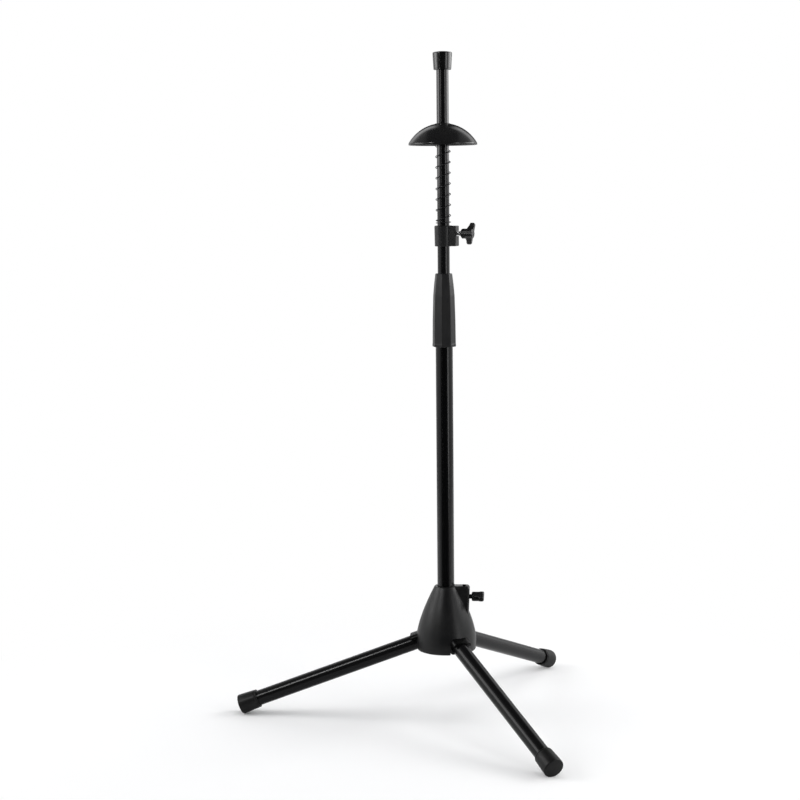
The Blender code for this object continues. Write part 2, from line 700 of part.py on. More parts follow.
def leg_tube_mesh():
    """Steel tube from the knuckle's seat to the cap's end wall."""
    end = LEG_REACH - FOOT_END_WALL - GAP
    bore = LEG_TUBE_RADIUS - LEG_TUBE_WALL
    return along_leg(turned("leg_tube", [(LEG_TUBE_RADIUS, end), (LEG_TUBE_RADIUS, KNUCKLE_SOLID),
                                         (bore, KNUCKLE_SOLID), (bore, end)], True, SMALL_STEPS)).data


def foot_cap_mesh():
    """Rubber cap: flared outside, bulged end, rounded lips, cut flat where it meets the floor."""
    mouth = LEG_REACH - FOOT_LENGTH
    inside = LEG_TUBE_RADIUS + GAP
    lip = (FOOT_MOUTH_STEP - GAP) / 2
    corner = foot_radius - FOOT_ROUNDING
    profile = [(0.0, LEG_REACH + FOOT_DOME), (corner / 2, LEG_REACH + FOOT_DOME * 3 / 4)]
    profile += arc(corner, LEG_REACH - FOOT_ROUNDING, FOOT_ROUNDING, 90, 0, 5)
    profile += arc(inside + lip, mouth + lip, lip, 0, -180, 5)
    profile += [(inside, LEG_REACH - FOOT_END_WALL), (0.0, LEG_REACH - FOOT_END_WALL)]
    cap = along_leg(turned("foot_cap", profile, False, SMALL_STEPS))
    room = LEG_REACH / 4
    floor = block("floor", (-room, -room, -room), (room, room, 0))
    there = place(x=LEG_REACH * cos(slope))
    to_leg = place(z=pivot_height, tilt=LEG_SLOPE).inverted()
    cut(cap, moved(floor, to_leg @ there))
    return baked(cap).data


def pin_mesh():
    """Riveted pivot pin across the leg, with a head outside each slot wall."""
    reach = ear_outside + GAP
    head = reach + PIN_HEAD_THICKNESS
    head_radius = PIN_RADIUS + PIN_HEAD_STEP
    half = [(0.0, head), (head_radius - PIN_HEAD_CHAMFER, head), (head_radius, head - PIN_HEAD_CHAMFER),
            (head_radius, reach), (PIN_RADIUS, reach)]
    profile = half + [(r, -z) for r, z in reversed(half)]
    pin = turned("leg_pin", profile, False, PIN_STEPS)
    return moved(baked(pin), Matrix.Rotation(pi / 2, 4, "X")).data


def make_legs():
    """Three alike legs, each under an empty on its pivot, and their pins on the hub."""
    shapes = {"leg_knuckle": (knuckle_mesh(), black_plastic), "leg_tube": (leg_tube_mesh(), gloss_black),
              "foot_cap": (foot_cap_mesh(), rubber)}
    pin = pin_mesh()
    for side, turn in LEG_TURNS.items():
        pivot = place(turn=turn) @ place(x=pivot_radius, z=pivot_height)
        leg = empty("leg_" + side, pivot @ place(tilt=LEG_SLOPE), hub_body)
        for name, (shape, made_of) in shapes.items():
            put(bpy.data.objects.new(name + "_" + side, shape), leg, made_of)
        put(bpy.data.objects.new("leg_pin_" + side, pin), hub_body, steel, pivot)


def make_mast():
    """Main tube and the flanged plug that stops it under the hub's neck."""
    tube = turned("main_tube", [(tube_radius, tube_top), (tube_radius, tube_foot),
                                (tube_bore, tube_foot), (tube_bore, tube_top)], True)
    put(tube, mast_body, gloss_black)
    spigot_top = tube_foot + PLUG_SPIGOT_LENGTH
    flange_top = tube_foot - GAP
    foot = flange_top - PLUG_FLANGE_THICKNESS
    hole = spigot_radius - PLUG_WALL
    plug = turned("mast_end_plug", [(spigot_radius, spigot_top), (spigot_radius, flange_top),
                                    (flange_radius, flange_top), (flange_radius, foot + PLUG_FLANGE_CHAMFER),
                                    (flange_radius - PLUG_FLANGE_CHAMFER, foot), (hole, foot),
                                    (hole, spigot_top)], True, SMALL_STEPS)
    put(plug, mast_body, matte_plastic)


def make_clutch():
    """Clutch body screwed on the main tube's top end, and the split collet that stands in its socket."""
    spigot_foot = tube_top - CLUTCH_SPIGOT_LENGTH
    floor = clutch_top - CLUTCH_SOCKET_DEPTH
    socket = collet_radius + GAP
    clutch = turned("clutch_body", [(clutch_radius, clutch_top), (clutch_radius, clutch_foot),
                                    (spigot_radius, clutch_foot), (spigot_radius, spigot_foot),
                                    (rod_hole, spigot_foot), (rod_hole, floor), (socket, floor),
                                    (socket, clutch_top)], True, SMALL_STEPS)
    put(clutch, mast_body, matte_plastic)
    cone_foot = clutch_top + COLLET_PARALLEL
    collet = turned("clutch_collet", [(collet_nose, collet_top), (collet_radius, cone_foot),
                                      (collet_radius, collet_foot), (rod_hole, collet_foot),
                                      (rod_hole, collet_top)], True, SMALL_STEPS)
    reach = collet_radius + CUT_PAST
    for way in (0, 90):
        slit = block("collet_slit", (-reach, -COLLET_SLIT / 2, collet_foot + COLLET_BAND),
                     (reach, COLLET_SLIT / 2, collet_top + CUT_PAST))
        cut(collet, moved(slit, place(turn=way)))
    put(collet, mast_body, nylon)


def make_grip():
    """Twist sleeve: swelling body, tapered nose, lip at its foot, and a cone inside that shuts the collet."""
    top_edge = free_hole + GRIP_TOP_WALL - GRIP_TOP_ROUNDING
    waist = tube_radius + GRIP_WAIST_STEP
    waist_height = grip_top - GRIP_WAIST_DROP
    above_lip = tube_radius + GRIP_FOOT_STEP
    lip = above_lip + GRIP_LIP
    nose_middle = (top_edge + GRIP_TOP_ROUNDING + waist) / 2 + GRIP_NOSE_SWELL
    profile = arc(top_edge, grip_top - GRIP_TOP_ROUNDING, GRIP_TOP_ROUNDING, 90, 0, 3)
    profile += [(nose_middle, (grip_top + waist_height) / 2),
                (waist - 0.1, waist_height + GRIP_WAIST_EDGE), (waist, waist_height),
                (tube_radius + GRIP_BELLY_STEP, grip_top - GRIP_BELLY_DROP),
                (above_lip, grip_foot + GRIP_LIP_HEIGHT + 3 * GRIP_LIP),
                (lip, grip_foot + GRIP_LIP_HEIGHT)]
    profile += arc(lip - GRIP_LIP_ROUNDING, grip_foot + GRIP_LIP_ROUNDING, GRIP_LIP_ROUNDING, 0, -90, 3)
    sleeve_bore = tube_radius + FREE_GAP
    thread = clutch_radius + GAP
    thread_foot = clutch_foot - 2 * GAP
    thread_top = clutch_top + GAP
    cone_foot = collet_radius + FREE_GAP
    seat = collet_top + GAP
    profile += [(sleeve_bore, grip_foot), (sleeve_bore, thread_foot), (thread, thread_foot),
                (thread, thread_top), (cone_foot, thread_top), (cone_foot, clutch_top + COLLET_PARALLEL),
                (collet_nose + GAP, seat), (free_hole, seat), (free_hole, grip_top)]
    put(turned("grip_sleeve", profile, True), mast_body, matte_plastic)


def make_rod():
    """Telescoping rod with a guide bush on its foot and a rubber cap on its head."""
    rod = turned("inner_rod", [(ROD_RADIUS, rod_top), (ROD_RADIUS, rod_foot), (rod_bore, rod_foot),
                               (rod_bore, rod_top)], True, SMALL_STEPS)
    put(rod, rod_body, gloss_black)
    spigot = rod_bore - GAP
    spigot_top = rod_foot + BUSH_SPIGOT_LENGTH
    head = rod_foot - GAP
    foot = rod_foot - BUSH_LENGTH
    hole = spigot - BUSH_WALL
    bush = turned("rod_bush", [(spigot, spigot_top), (spigot, head), (spigot_radius, head),
                               (spigot_radius, foot + BUSH_CHAMFER), (spigot_radius - BUSH_CHAMFER, foot),
                               (hole, foot), (hole, spigot_top)], True, SMALL_STEPS)
    put(bush, rod_body, nylon)
    top = cap_mouth + CAP_LENGTH
    lip = CAP_MOUTH_WALL / 3
    top_corner = rod_hole + CAP_TOP_WALL - CAP_ROUNDING
    profile = [(0.0, top), (top_corner / 2, top - CAP_CROWN / 4)]
    profile += arc(top_corner, top - CAP_CROWN - CAP_ROUNDING, CAP_ROUNDING, 90, 0, 4)
    profile += arc(rod_hole + CAP_MOUTH_WALL - lip, cap_mouth + lip, lip, 0, -90, 4)
    profile += [(rod_hole, cap_mouth), (rod_hole, rod_top + GAP), (0.0, rod_top + GAP)]
    put(turned("rod_cap", profile, False, SMALL_STEPS), rod_body, rubber)


def make_collar():
    """Sliding collar with a square lug, its brass insert, pad and screw hole."""
    top_radius = rod_hole + COLLAR_TOP_WALL
    foot_radius = rod_hole + COLLAR_FOOT_WALL
    collar = turned("spring_collar", [(0.0, collar_top), (top_radius - COLLAR_CHAMFER, collar_top),
                                      (top_radius, collar_top - COLLAR_CHAMFER),
                                      (foot_radius, collar_foot + COLLAR_FOOT_CHAMFER),
                                      (foot_radius - COLLAR_FOOT_CHAMFER, collar_foot),
                                      (0.0, collar_foot)])
    moved(collar, place(turn=HALF_FACET))
    lug = block("collar_lug", (ROD_RADIUS, -COLLAR_LUG_HALF, collar_foot + COLLAR_LUG_SINK),
                (collar_lug_face, COLLAR_LUG_HALF, collar_top - COLLAR_LUG_SINK))
    boolean(collar, "UNION", bevel(lug, COLLAR_LUG_ROUNDING))
    above = collar_top + CUT_PAST
    below = collar_foot - CUT_PAST
    bore = turned("collar_bore", [(0.0, above), (rod_hole, above), (rod_hole, below), (0.0, below)],
                  False, SMALL_STEPS)
    insert_end = collar_lug_face - INSERT_SINK
    insert_start = insert_end - INSERT_LENGTH
    hole = rod_along_x("collar_screw_hole", SCREW_RADIUS + GAP, ROD_RADIUS - COLLAR_TOP_WALL,
                       collar_lug_face + CUT_PAST)
    seat = rod_along_x("insert_seat", insert_radius + GAP, insert_start - GAP, insert_end + GAP)
    lift = place(z=collar_screw_height)
    cut(collar, bore, moved(hole, lift), moved(seat, lift))
    put(collar, collar_side, matte_plastic)
    thread = SCREW_RADIUS + GAP
    insert = turned("collar_insert", [(insert_radius, insert_end), (insert_radius, insert_start),
                                      (thread, insert_start), (thread, insert_end)], True, SMALL_STEPS)
    put(along_leg(insert), collar_side, brass, lift)


def spring_path():
    """Centre line of the spring as rows of x, y, z.

    The height is the running sum of the pitch, which is small over the closed end turns and opens over
    a short ramp. Each end bends over and runs straight into the face that it bears on.
    """
    bend = SPRING_BEND * SPRING_WIRE_RADIUS
    straight = SPRING_TAIL * SPRING_WIRE_RADIUS
    lead = GAP + straight + bend
    low = collar_top + lead
    high = boss_foot - lead
    turns = np.linspace(0, SPRING_TURNS, int(SPRING_TURNS * SPRING_POINTS) + 1)
    inner = np.minimum(turns, SPRING_TURNS - turns)
    openness = np.clip((inner - SPRING_END_TURNS) / SPRING_RAMP, 0, 1)
    share = np.concatenate(([0.0], np.cumsum((openness[1:] + openness[:-1]) / 2 * np.diff(turns))))
    rise = high - low - SPRING_END_PITCH * SPRING_TURNS
    heights = low + SPRING_END_PITCH * turns + rise * share / share[-1]
    angles = np.radians(SPRING_START) + 2 * pi * turns
    coil = np.stack([spring_radius * np.cos(angles), spring_radius * np.sin(angles), heights], 1)
    ends = []
    for sign, angle, height in ((-1, angles[0], low), (1, angles[-1], high)):
        along = np.array([-sin(angle), cos(angle), 0.0]) * sign
        spot = np.array([spring_radius * cos(angle), spring_radius * sin(angle), height])
        up = np.array([0.0, 0.0, sign])
        curve = [spot + along * bend * sin(t) + up * bend * (1 - cos(t)) for t in (pi / 6, pi / 3, pi / 2)]
        ends.append(np.array(curve + [curve[-1] + up * straight]))
    return np.concatenate([ends[0][::-1], coil, ends[1]])


def spring_clearance(path):
    """Least gap in millimetres between stretches of the wire that are over half a turn apart."""
    steps = np.concatenate(([0.0], np.cumsum(np.linalg.norm(np.diff(path, axis=0), axis=1))))
    apart = np.linalg.norm(path[:, None] - path[None, :], axis=2)
    far = np.abs(steps[:, None] - steps[None, :]) > pi * spring_radius
    return apart[far].min() - 2 * SPRING_WIRE_RADIUS


def make_spring():
    """Compression spring: one unbroken wire as a bevelled poly line."""
    path = spring_path()
    curve = bpy.data.curves.new("bell_spring", "CURVE")
    curve.dimensions = "3D"
    curve.bevel_depth = SPRING_WIRE_RADIUS * MM
    curve.bevel_resolution = 1
    curve.use_fill_caps = True
    line = curve.splines.new("POLY")
    line.points.add(len(path) - 1)
    line.points.foreach_set("co", np.column_stack([path * MM, np.ones(len(path))]).ravel())
    spring = baked(bpy.data.objects.new("bell_spring", curve))
    put(spring, collar_body, black_wire)
    print("bell_spring: least gap between turns", round(float(spring_clearance(path)), 3), "mm")


def make_dome():
    """Spherical bell dome: a thin shell with an upright lip and a bored boss that the spring pushes on."""
    dome_neck = free_hole + DOME_NECK_WALL
    boss_radius = free_hole + DOME_BOSS_WALL
    neck_height = sqrt(DOME_RADIUS ** 2 - dome_neck ** 2)
    centre = dome_top - DOME_NECK_RISE - neck_height
    inner = DOME_RADIUS - DOME_WALL
    rim_inside = DOME_RIM_RADIUS - DOME_WALL
    shoulder = sqrt(DOME_RADIUS ** 2 - DOME_RIM_RADIUS ** 2)
    rim = centre + shoulder - DOME_LIP_HEIGHT
    neck = degrees(atan2(neck_height, dome_neck))
    edge = degrees(atan2(shoulder, DOME_RIM_RADIUS))
    inside_edge = degrees(atan2(sqrt(inner ** 2 - rim_inside ** 2), rim_inside))
    boss = degrees(atan2(sqrt(inner ** 2 - boss_radius ** 2), boss_radius))
    profile = [(dome_neck - DOME_NECK_CHAMFER, dome_top)]
    profile += arc(0, centre, DOME_RADIUS, neck, edge, 10)
    profile += [(DOME_RIM_RADIUS, rim + DOME_LIP_CHAMFER), (DOME_RIM_RADIUS - DOME_LIP_CHAMFER, rim),
                (rim_inside + DOME_LIP_CHAMFER, rim), (rim_inside, rim + DOME_LIP_CHAMFER)]
    profile += arc(0, centre, inner, inside_edge, boss, 6)
    profile += [(boss_radius, boss_foot), (free_hole, boss_foot), (free_hole, dome_top)]
    put(turned("bell_dome", profile, True), dome_body, black_plastic)


def centre_on_footprint():
    """Move the whole stand so that the origin is the middle of its footprint, on the floor."""
    bpy.context.view_layer.update()
    graph = bpy.context.evaluated_depsgraph_get()
    graph.update()
    corners = []
    for thing in parts.objects:
        if thing.type == "MESH":
            solid = thing.evaluated_get(graph)
            flat = np.empty(len(solid.data.vertices) * 3)
            solid.data.vertices.foreach_get("co", flat)
            world = np.array(thing.matrix_world)
            spots = flat.reshape(-1, 3) @ world[:3, :3].T + world[:3, 3]
            corners += [spots.min(0), spots.max(0)]
    middle = (np.min(corners, 0) + np.max(corners, 0)) / 2
    stand.location = (-middle[0], -middle[1], 0.0)
    bpy.context.view_layer.update()
    print("mast axis at x, y in millimetres:", np.round(-middle[:2] / MM, 4))


def main():
    """Build every piece of the stand."""
    knob = knob_mesh()
    hub_knob_start = lug_face + HUB_KNOB_STAND_OFF
    collar_knob_start = collar_lug_face + COLLAR_KNOB_STAND_OFF
    make_hub()
    make_square_nut()
    make_pad("hub_pressure_pad", tube_radius, hub_body, hub_screw_height)
    make_stud("hub_screw_stud", tube_radius, hub_knob_start, hub_body, hub_screw_height)
    make_knob("hub_wing_knob", knob, hub_knob_start, HUB_WING_TURN, hub_body, hub_screw_height)
    make_legs()
    make_mast()
    make_clutch()
    make_grip()
    make_rod()
    make_collar()
    make_pad("collar_pressure_pad", ROD_RADIUS, collar_side, collar_screw_height)
    make_stud("collar_screw_stud", ROD_RADIUS, collar_knob_start, collar_side, collar_screw_height)
    make_knob("collar_wing_knob", knob, collar_knob_start, COLLAR_WING_TURN, collar_side, collar_screw_height)
    make_spring()
    make_dome()
    centre_on_footprint()


main()
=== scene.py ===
# %% [markdown]
# # A sprung trombone stand, dressed for its portrait
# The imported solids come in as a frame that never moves. Each cell below either gives a solid a finer
# surface in the same place, or gives it the finish of the real material. The solids stay underneath
# for collision, so every new surface keeps the outline of the piece that it stands for.

# %% Load the frame
import math
import bmesh
import bpy
import numpy as np
from mathutils import Matrix, Vector


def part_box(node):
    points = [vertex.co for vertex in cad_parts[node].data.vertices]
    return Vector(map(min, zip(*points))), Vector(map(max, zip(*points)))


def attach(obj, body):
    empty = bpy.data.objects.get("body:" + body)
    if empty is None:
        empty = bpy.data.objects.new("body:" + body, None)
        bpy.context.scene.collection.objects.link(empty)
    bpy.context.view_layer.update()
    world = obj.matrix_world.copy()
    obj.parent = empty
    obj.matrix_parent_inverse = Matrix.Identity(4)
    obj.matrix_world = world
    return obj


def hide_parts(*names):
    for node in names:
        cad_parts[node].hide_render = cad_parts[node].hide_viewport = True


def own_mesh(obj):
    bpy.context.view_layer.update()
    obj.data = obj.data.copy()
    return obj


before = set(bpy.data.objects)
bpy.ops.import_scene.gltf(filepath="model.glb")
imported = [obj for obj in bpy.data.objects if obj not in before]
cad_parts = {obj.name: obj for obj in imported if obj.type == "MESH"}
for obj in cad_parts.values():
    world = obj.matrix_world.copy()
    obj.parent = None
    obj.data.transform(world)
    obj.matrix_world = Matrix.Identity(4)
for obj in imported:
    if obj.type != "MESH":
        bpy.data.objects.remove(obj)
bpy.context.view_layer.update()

# %% [markdown]
# ## Where things are
# Every place is read off the solids: the mast's axis is the middle of the main tube's box, and each
# height is the top or the foot of a node. Only radii and small details are written as numbers, all
# in millimetres, because that is how a maker's drawing gives them.

# %% Places on the mast
MM = 0.001


def top(node):
    """Height of a node's highest point in millimetres."""
    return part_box(node)[1].z / MM


def foot(node):
    """Height of a node's lowest point in millimetres."""
    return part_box(node)[0].z / MM


tube_low, tube_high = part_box("main_tube")
mast = np.array([(tube_low.x + tube_high.x) / 2, (tube_low.y + tube_high.y) / 2, 0.0])
print("mast axis in millimetres:", np.round(mast[:2] / MM, 3))

# %% [markdown]
# ## Surfaces from grids
# A turned piece could be spun with a modifier, but a grid of points is clearer: one direction runs
# along the profile, the other round the axis. The same function then serves for tubes, wires and
# threads, since only the formula for the points changes.


# %% Turn a grid of points into a piece
def piece(name, grid, made_of, body, stands_for=(), closed_rows=False, closed_columns=True, crease=32):
    """Mesh over an array of rows x columns x 3 points in metres.

    Each quad joins point (i, j) to (i+1, j), (i+1, j+1) and (i, j+1). Closed rows or columns join the
    last one to the first. Points that fall together, such as a pole on the axis, are merged.
    """
    rows, columns = grid.shape[:2]
    index = np.arange(rows * columns).reshape(rows, columns)
    if closed_rows:
        index = np.concatenate([index, index[:1]], 0)
    if closed_columns:
        index = np.concatenate([index, index[:, :1]], 1)
    quads = np.stack([index[:-1, :-1], index[1:, :-1], index[1:, 1:], index[:-1, 1:]], -1).reshape(-1, 4)
    mesh = bpy.data.meshes.new(name)
    mesh.from_pydata(grid.reshape(-1, 3), [], quads)
    return finished(name, mesh, made_of, body, stands_for, crease)


def finished(name, mesh, made_of, body, stands_for=(), crease=32):
    """Weld a mesh's doubles, shade it smooth except at sharp edges, and make it a piece on its body.

    Normals are weighted by area, so that a long wall isn't bent by the small rounding at its end.
    """
    work = bmesh.new()
    work.from_mesh(mesh)
    bmesh.ops.remove_doubles(work, verts=work.verts, dist=1e-6)
    bmesh.ops.dissolve_degenerate(work, edges=work.edges, dist=1e-7)
    work.to_mesh(mesh)
    work.free()
    mesh.materials.clear()
    mesh.materials.append(made_of)
    mesh.shade_smooth()
    mesh.set_sharp_from_angle(angle=math.radians(crease))
    made = bpy.data.objects.new(name, mesh)
    bpy.context.scene.collection.objects.link(made)
    even = made.modifiers.new("even_normals", "WEIGHTED_NORMAL")
    even.keep_sharp = True
    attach(made, body)
    if stands_for:
        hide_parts(*stands_for)
    print(name, len(mesh.polygons), "faces")
    return made


# %% [markdown]
# ## Profiles with softened corners
# A moulded or cut edge is never perfectly sharp, and the thin light line that it catches is what
# makes a dark object readable. So a profile is written as corners, each with its own small radius.


# %% Round the corners of a profile
def softened(corners, segments=5):
    """Profile through (radius, height, rounding) corners: each corner becomes an arc tangent to its sides."""
    points = []
    for i, (r, z, rounding) in enumerate(corners):
        here = Vector((r, z))
        if rounding <= 0 or i in (0, len(corners) - 1):
            points.append(np.array([[r, z]]))
            continue
        before = (Vector(corners[i - 1][:2]) - here).normalized()
        after = (Vector(corners[i + 1][:2]) - here).normalized()
        half = before.angle(after) / 2
        reach = rounding / math.tan(half)
        first = here + before * reach
        centre = here + (before + after).normalized() * rounding / math.sin(half)
        last = here + after * reach
        start = math.atan2(first.y - centre.y, first.x - centre.x)
        sweep = math.atan2(last.y - centre.y, last.x - centre.x) - start
        sweep = (sweep + math.pi) % (2 * math.pi) - math.pi
        turns = start + sweep * np.linspace(0, 1, segments + 1)
        points.append(np.stack([centre.x + rounding * np.cos(turns), centre.y + rounding * np.sin(turns)], 1))
    return np.concatenate(points)


def turned(profile, steps=96, ripple=None):
    """Grid of a profile turned about Z: (r cos t, r sin t, z), with an optional change of r by angle."""
    t = np.linspace(0, 2 * np.pi, steps, endpoint=False)[None, :]
    r = np.repeat(profile[:, :1], steps, 1)
    if ripple is not None:
        r = r + ripple(profile, t)
    z = np.repeat(profile[:, 1:2], steps, 1)
    return np.stack([r * np.cos(t), r * np.sin(t), z], -1) * MM


def on_mast(grid):
    """Move a grid from the origin to the mast's axis."""
    return grid + mast


# %% [markdown]
# ## Finishes
# Everything on this stand is black, so the finishes differ in gloss and grain, not in colour. Each
# one is a Principled shader. Its colour drifts a little over the surface, its roughness carries the
# wipe marks and rubbed places of a used stand, and a bump map holds the grain of its mould or spray.


# %% Helpers for shader trees
def shader_node(tree, kind, inputs=None, **settings):
    """Add a node, set its properties, and fill its inputs with values or links."""
    made = tree.nodes.new(kind)
    for key, value in settings.items():
        setattr(made, key, value)
    for key, value in (inputs or {}).items():
        if isinstance(value, bpy.types.NodeSocket):
            tree.links.new(value, made.inputs[key])
        else:
            made.inputs[key].default_value = value
    return made


class Finish:
    """Material with a Principled shader, and short names for the nodes that feed it."""

    def __init__(self, name, slot, colour, roughness, metallic=0.0, **sockets):
        self.material = bpy.data.materials.new(name)
        self.material["slot"] = slot
        self.material.use_nodes = True
        self.tree = self.material.node_tree
        self.shader = self.tree.nodes["Principled BSDF"]
        self.shader.inputs["Base Color"].default_value = (*colour, 1.0)
        self.shader.inputs["Roughness"].default_value = roughness
        self.shader.inputs["Metallic"].default_value = metallic
        for socket, value in sockets.items():
            self.shader.inputs[socket.replace("_", " ")].default_value = value
        self.spot = self.node("ShaderNodeTexCoord").outputs["Object"]

    def node(self, kind, inputs=None, **settings):
        """Add a node to this material."""
        return shader_node(self.tree, kind, inputs, **settings)

    def stretched(self, scale, turn=(0.0, 0.0, 0.0)):
        """Object coordinates turned, then scaled for each axis."""
        return self.node("ShaderNodeMapping", {"Vector": self.spot, "Scale": scale, "Rotation": turn}).outputs[0]

    def noise(self, scale, detail=4.0, rough=0.5, vector=None):
        """Fractal noise value."""
        return self.node("ShaderNodeTexNoise", {"Vector": vector or self.spot, "Scale": scale, "Detail": detail,
                                                "Roughness": rough}).outputs["Fac"]

    def spread(self, value, low, high, start=0.3, end=0.7):
        """Map a value between start and end to low and high, clamped."""
        return self.node("ShaderNodeMapRange", {"Value": value, "From Min": start, "From Max": end,
                                                "To Min": low, "To Max": high}).outputs[0]

    def mixed(self, fac, first, second):
        """Mix two colours."""
        inputs = {"Factor": fac, 6: (*first, 1.0), 7: (*second, 1.0)}
        return self.node("ShaderNodeMix", inputs, data_type="RGBA").outputs[2]

    def math(self, operation, first, second=0.0):
        """Arithmetic on two values."""
        return self.node("ShaderNodeMath", {0: first, 1: second}, operation=operation).outputs[0]

    def link(self, output, socket):
        """Link an output to one of the shader's own inputs."""
        self.tree.links.new(output, self.shader.inputs[socket])

    def bump(self, *layers):
        """Chain bump nodes from (height, distance in metres, strength) layers into the shader's normal."""
        normal = None
        for height, distance, strength in layers:
            inputs = {"Height": height, "Distance": distance, "Strength": strength}
            if normal is not None:
                inputs["Normal"] = normal
            normal = self.node("ShaderNodeBump", inputs).outputs[0]
        self.link(normal, "Normal")


# %% [markdown]
# ### Moulded plastic
# The hub, the knuckles, the knobs and the dome are injection mouldings with a fine spark-eroded
# grain. Handling polishes the high places, so roughness drifts between duller and shinier patches,
# and dust lightens the colour slightly.


# %% Moulded plastics
def moulded(name, slot, colour, roughness, dust, grain_depth=0.00002, grain_scale=2600.0, shine=0.22):
    """Black plastic with spark-eroded grain, handling shine and a trace of dust."""
    made = Finish(name, slot, colour, roughness, Specular_IOR_Level=shine)
    drift = made.noise(38.0, 5.0, 0.6)
    made.link(made.mixed(made.spread(drift, 0.0, 1.0), colour, dust), "Base Color")
    wiped = made.noise(150.0, 6.0, 0.65, made.stretched((1.0, 1.0, 0.35)))
    made.link(made.spread(wiped, roughness - 0.06, roughness + 0.08), "Roughness")
    grain = made.noise(grain_scale, 3.0, 0.6)
    sink = made.noise(60.0, 2.0, 0.4)
    made.bump((grain, grain_depth, 0.35), (sink, 4 * grain_depth, 0.12))
    return made.material


satin_moulding = moulded("satin_moulding", "moulded_black_plastic", (0.005, 0.005, 0.0055), 0.38,
                         (0.01, 0.01, 0.01), shine=0.22)
dome_moulding = moulded("dome_moulding", "moulded_black_plastic", (0.0095, 0.0095, 0.01), 0.18,
                        (0.0125, 0.0125, 0.0125), 0.000003, 2200.0)
# The knuckles get a darker, less shiny copy of the same moulding: painted shade for the shadow in the hub's leg
# slots.
shaded_knuckle_moulding = moulded("shaded_knuckle_moulding", "moulded_black_plastic", (0.002, 0.002, 0.0022), 0.28,
                           (0.004, 0.004, 0.004), 0.00001, 2400.0, 0.1)
matte_moulding = moulded("matte_moulding", "matte_black_plastic", (0.012, 0.012, 0.013), 0.34,
                         (0.018, 0.018, 0.018), 0.00003, 1900.0)
print("plastics:", [made.name for made in (satin_moulding, dome_moulding, shaded_knuckle_moulding, matte_moulding)])

# %% [markdown]
# ### Lacquered tube
# The tubes are sprayed and baked. A sprayed coat is glossy but never flat: it has a very shallow
# orange-peel wave, and the telescoping parts carry faint rub lines along the tube.


# %% Lacquers
def lacquered(name, colour, roughness, peel, rub, shine=0.3):
    """Black baked lacquer: a glossy dark base, shallow orange peel and fine lines along Z."""
    made = Finish(name, "gloss_black_lacquer", colour, roughness, Specular_IOR_Level=shine)
    lines = made.noise(900.0, 2.0, 0.5, made.stretched((1.0, 1.0, 0.02)))
    cloud = made.noise(45.0, 4.0, 0.6)
    worn = made.math("MULTIPLY", made.spread(lines, 0.0, 1.0, 0.55, 0.75), made.spread(cloud, 0.2, 1.0))
    made.link(made.math("ADD", made.math("MULTIPLY", worn, rub), roughness), "Roughness")
    made.link(made.mixed(cloud, colour, tuple(1.5 * c for c in colour)), "Base Color")
    made.bump((made.noise(340.0, 2.0, 0.5), peel, 0.25))
    return made.material


rod_lacquer = lacquered("rod_lacquer", (0.0045, 0.0045, 0.0048), 0.15, 0.000004, 0.06)
tube_lacquer = lacquered("tube_lacquer", (0.0018, 0.0018, 0.002), 0.19, 0.000014, 0.07)
leg_lacquer = lacquered("leg_lacquer", (0.0038, 0.0038, 0.004), 0.2, 0.000014, 0.06, 0.13)
print("lacquers:", rod_lacquer.name, tube_lacquer.name, leg_lacquer.name)

# %% [markdown]
# ### Rubber, steel, brass, wire and nylon
# Rubber is dull and picks up grey dust. The screws are zinc plated, the pads and the insert are
# turned brass with tool rings, the spring is drawn wire with a blackened skin, and the collet and
# the bush are natural nylon, which light enters a little way.

# %% Rubber
def rubbery(name, roughness, grain, shine):
    """Black rubber: scuffs that run along Z lighten it, and a fine uneven skin breaks up its sheen."""
    made = Finish(name, "black_rubber", (0.006, 0.006, 0.006), roughness, Specular_IOR_Level=shine)
    scuff = made.noise(120.0, 6.0, 0.7, made.stretched((1.0, 1.0, 0.25)))
    made.link(made.mixed(made.spread(scuff, 0.0, 1.0, 0.45, 0.75), (0.004, 0.004, 0.004), (0.009, 0.009, 0.009)),
              "Base Color")
    made.link(made.spread(made.noise(500.0), roughness - 0.06, roughness + 0.08), "Roughness")
    made.bump((made.noise(1500.0, 4.0, 0.65), grain, 0.35), (scuff, 2 * grain, 0.15))
    return made.material


foot_rubber = rubbery("foot_rubber", 0.4, 0.00003, 0.16)
cap_rubber = rubbery("cap_rubber", 0.19, 0.000002, 0.42)

# %% Metals and nylon
zinc = Finish("zinc_plate", "bright_zinc_steel", (0.6, 0.61, 0.62), 0.22, 1.0)
zinc.link(zinc.mixed(zinc.noise(420.0, 5.0), (0.5, 0.51, 0.52), (0.68, 0.68, 0.67)), "Base Color")
zinc.link(zinc.spread(zinc.noise(900.0, 4.0), 0.16, 0.32), "Roughness")
zinc.bump((zinc.noise(2600.0, 3.0), 0.00001, 0.3))
zinc_plate = zinc.material

# A darker copy of the zinc plate, used on the thread of the hub's screw.
black = Finish("dark_zinc_plate", "bright_zinc_steel", (0.02, 0.02, 0.022), 0.3, 0.6)
black.link(black.mixed(black.noise(420.0, 5.0), (0.015, 0.015, 0.016), (0.03, 0.03, 0.032)), "Base Color")
black.link(black.spread(black.noise(900.0, 4.0), 0.24, 0.4), "Roughness")
black.bump((black.noise(2600.0, 3.0), 0.00001, 0.3))
dark_zinc = black.material

brass = Finish("turned_brass_skin", "turned_brass", (0.62, 0.44, 0.2), 0.28, 1.0)
brass.link(brass.mixed(brass.noise(300.0, 5.0), (0.5, 0.34, 0.15), (0.72, 0.54, 0.27)), "Base Color")
brass.link(brass.spread(brass.noise(800.0), 0.2, 0.4), "Roughness")
brass.bump((brass.noise(3000.0, 2.0), 0.00001, 0.3))
brass_skin = brass.material

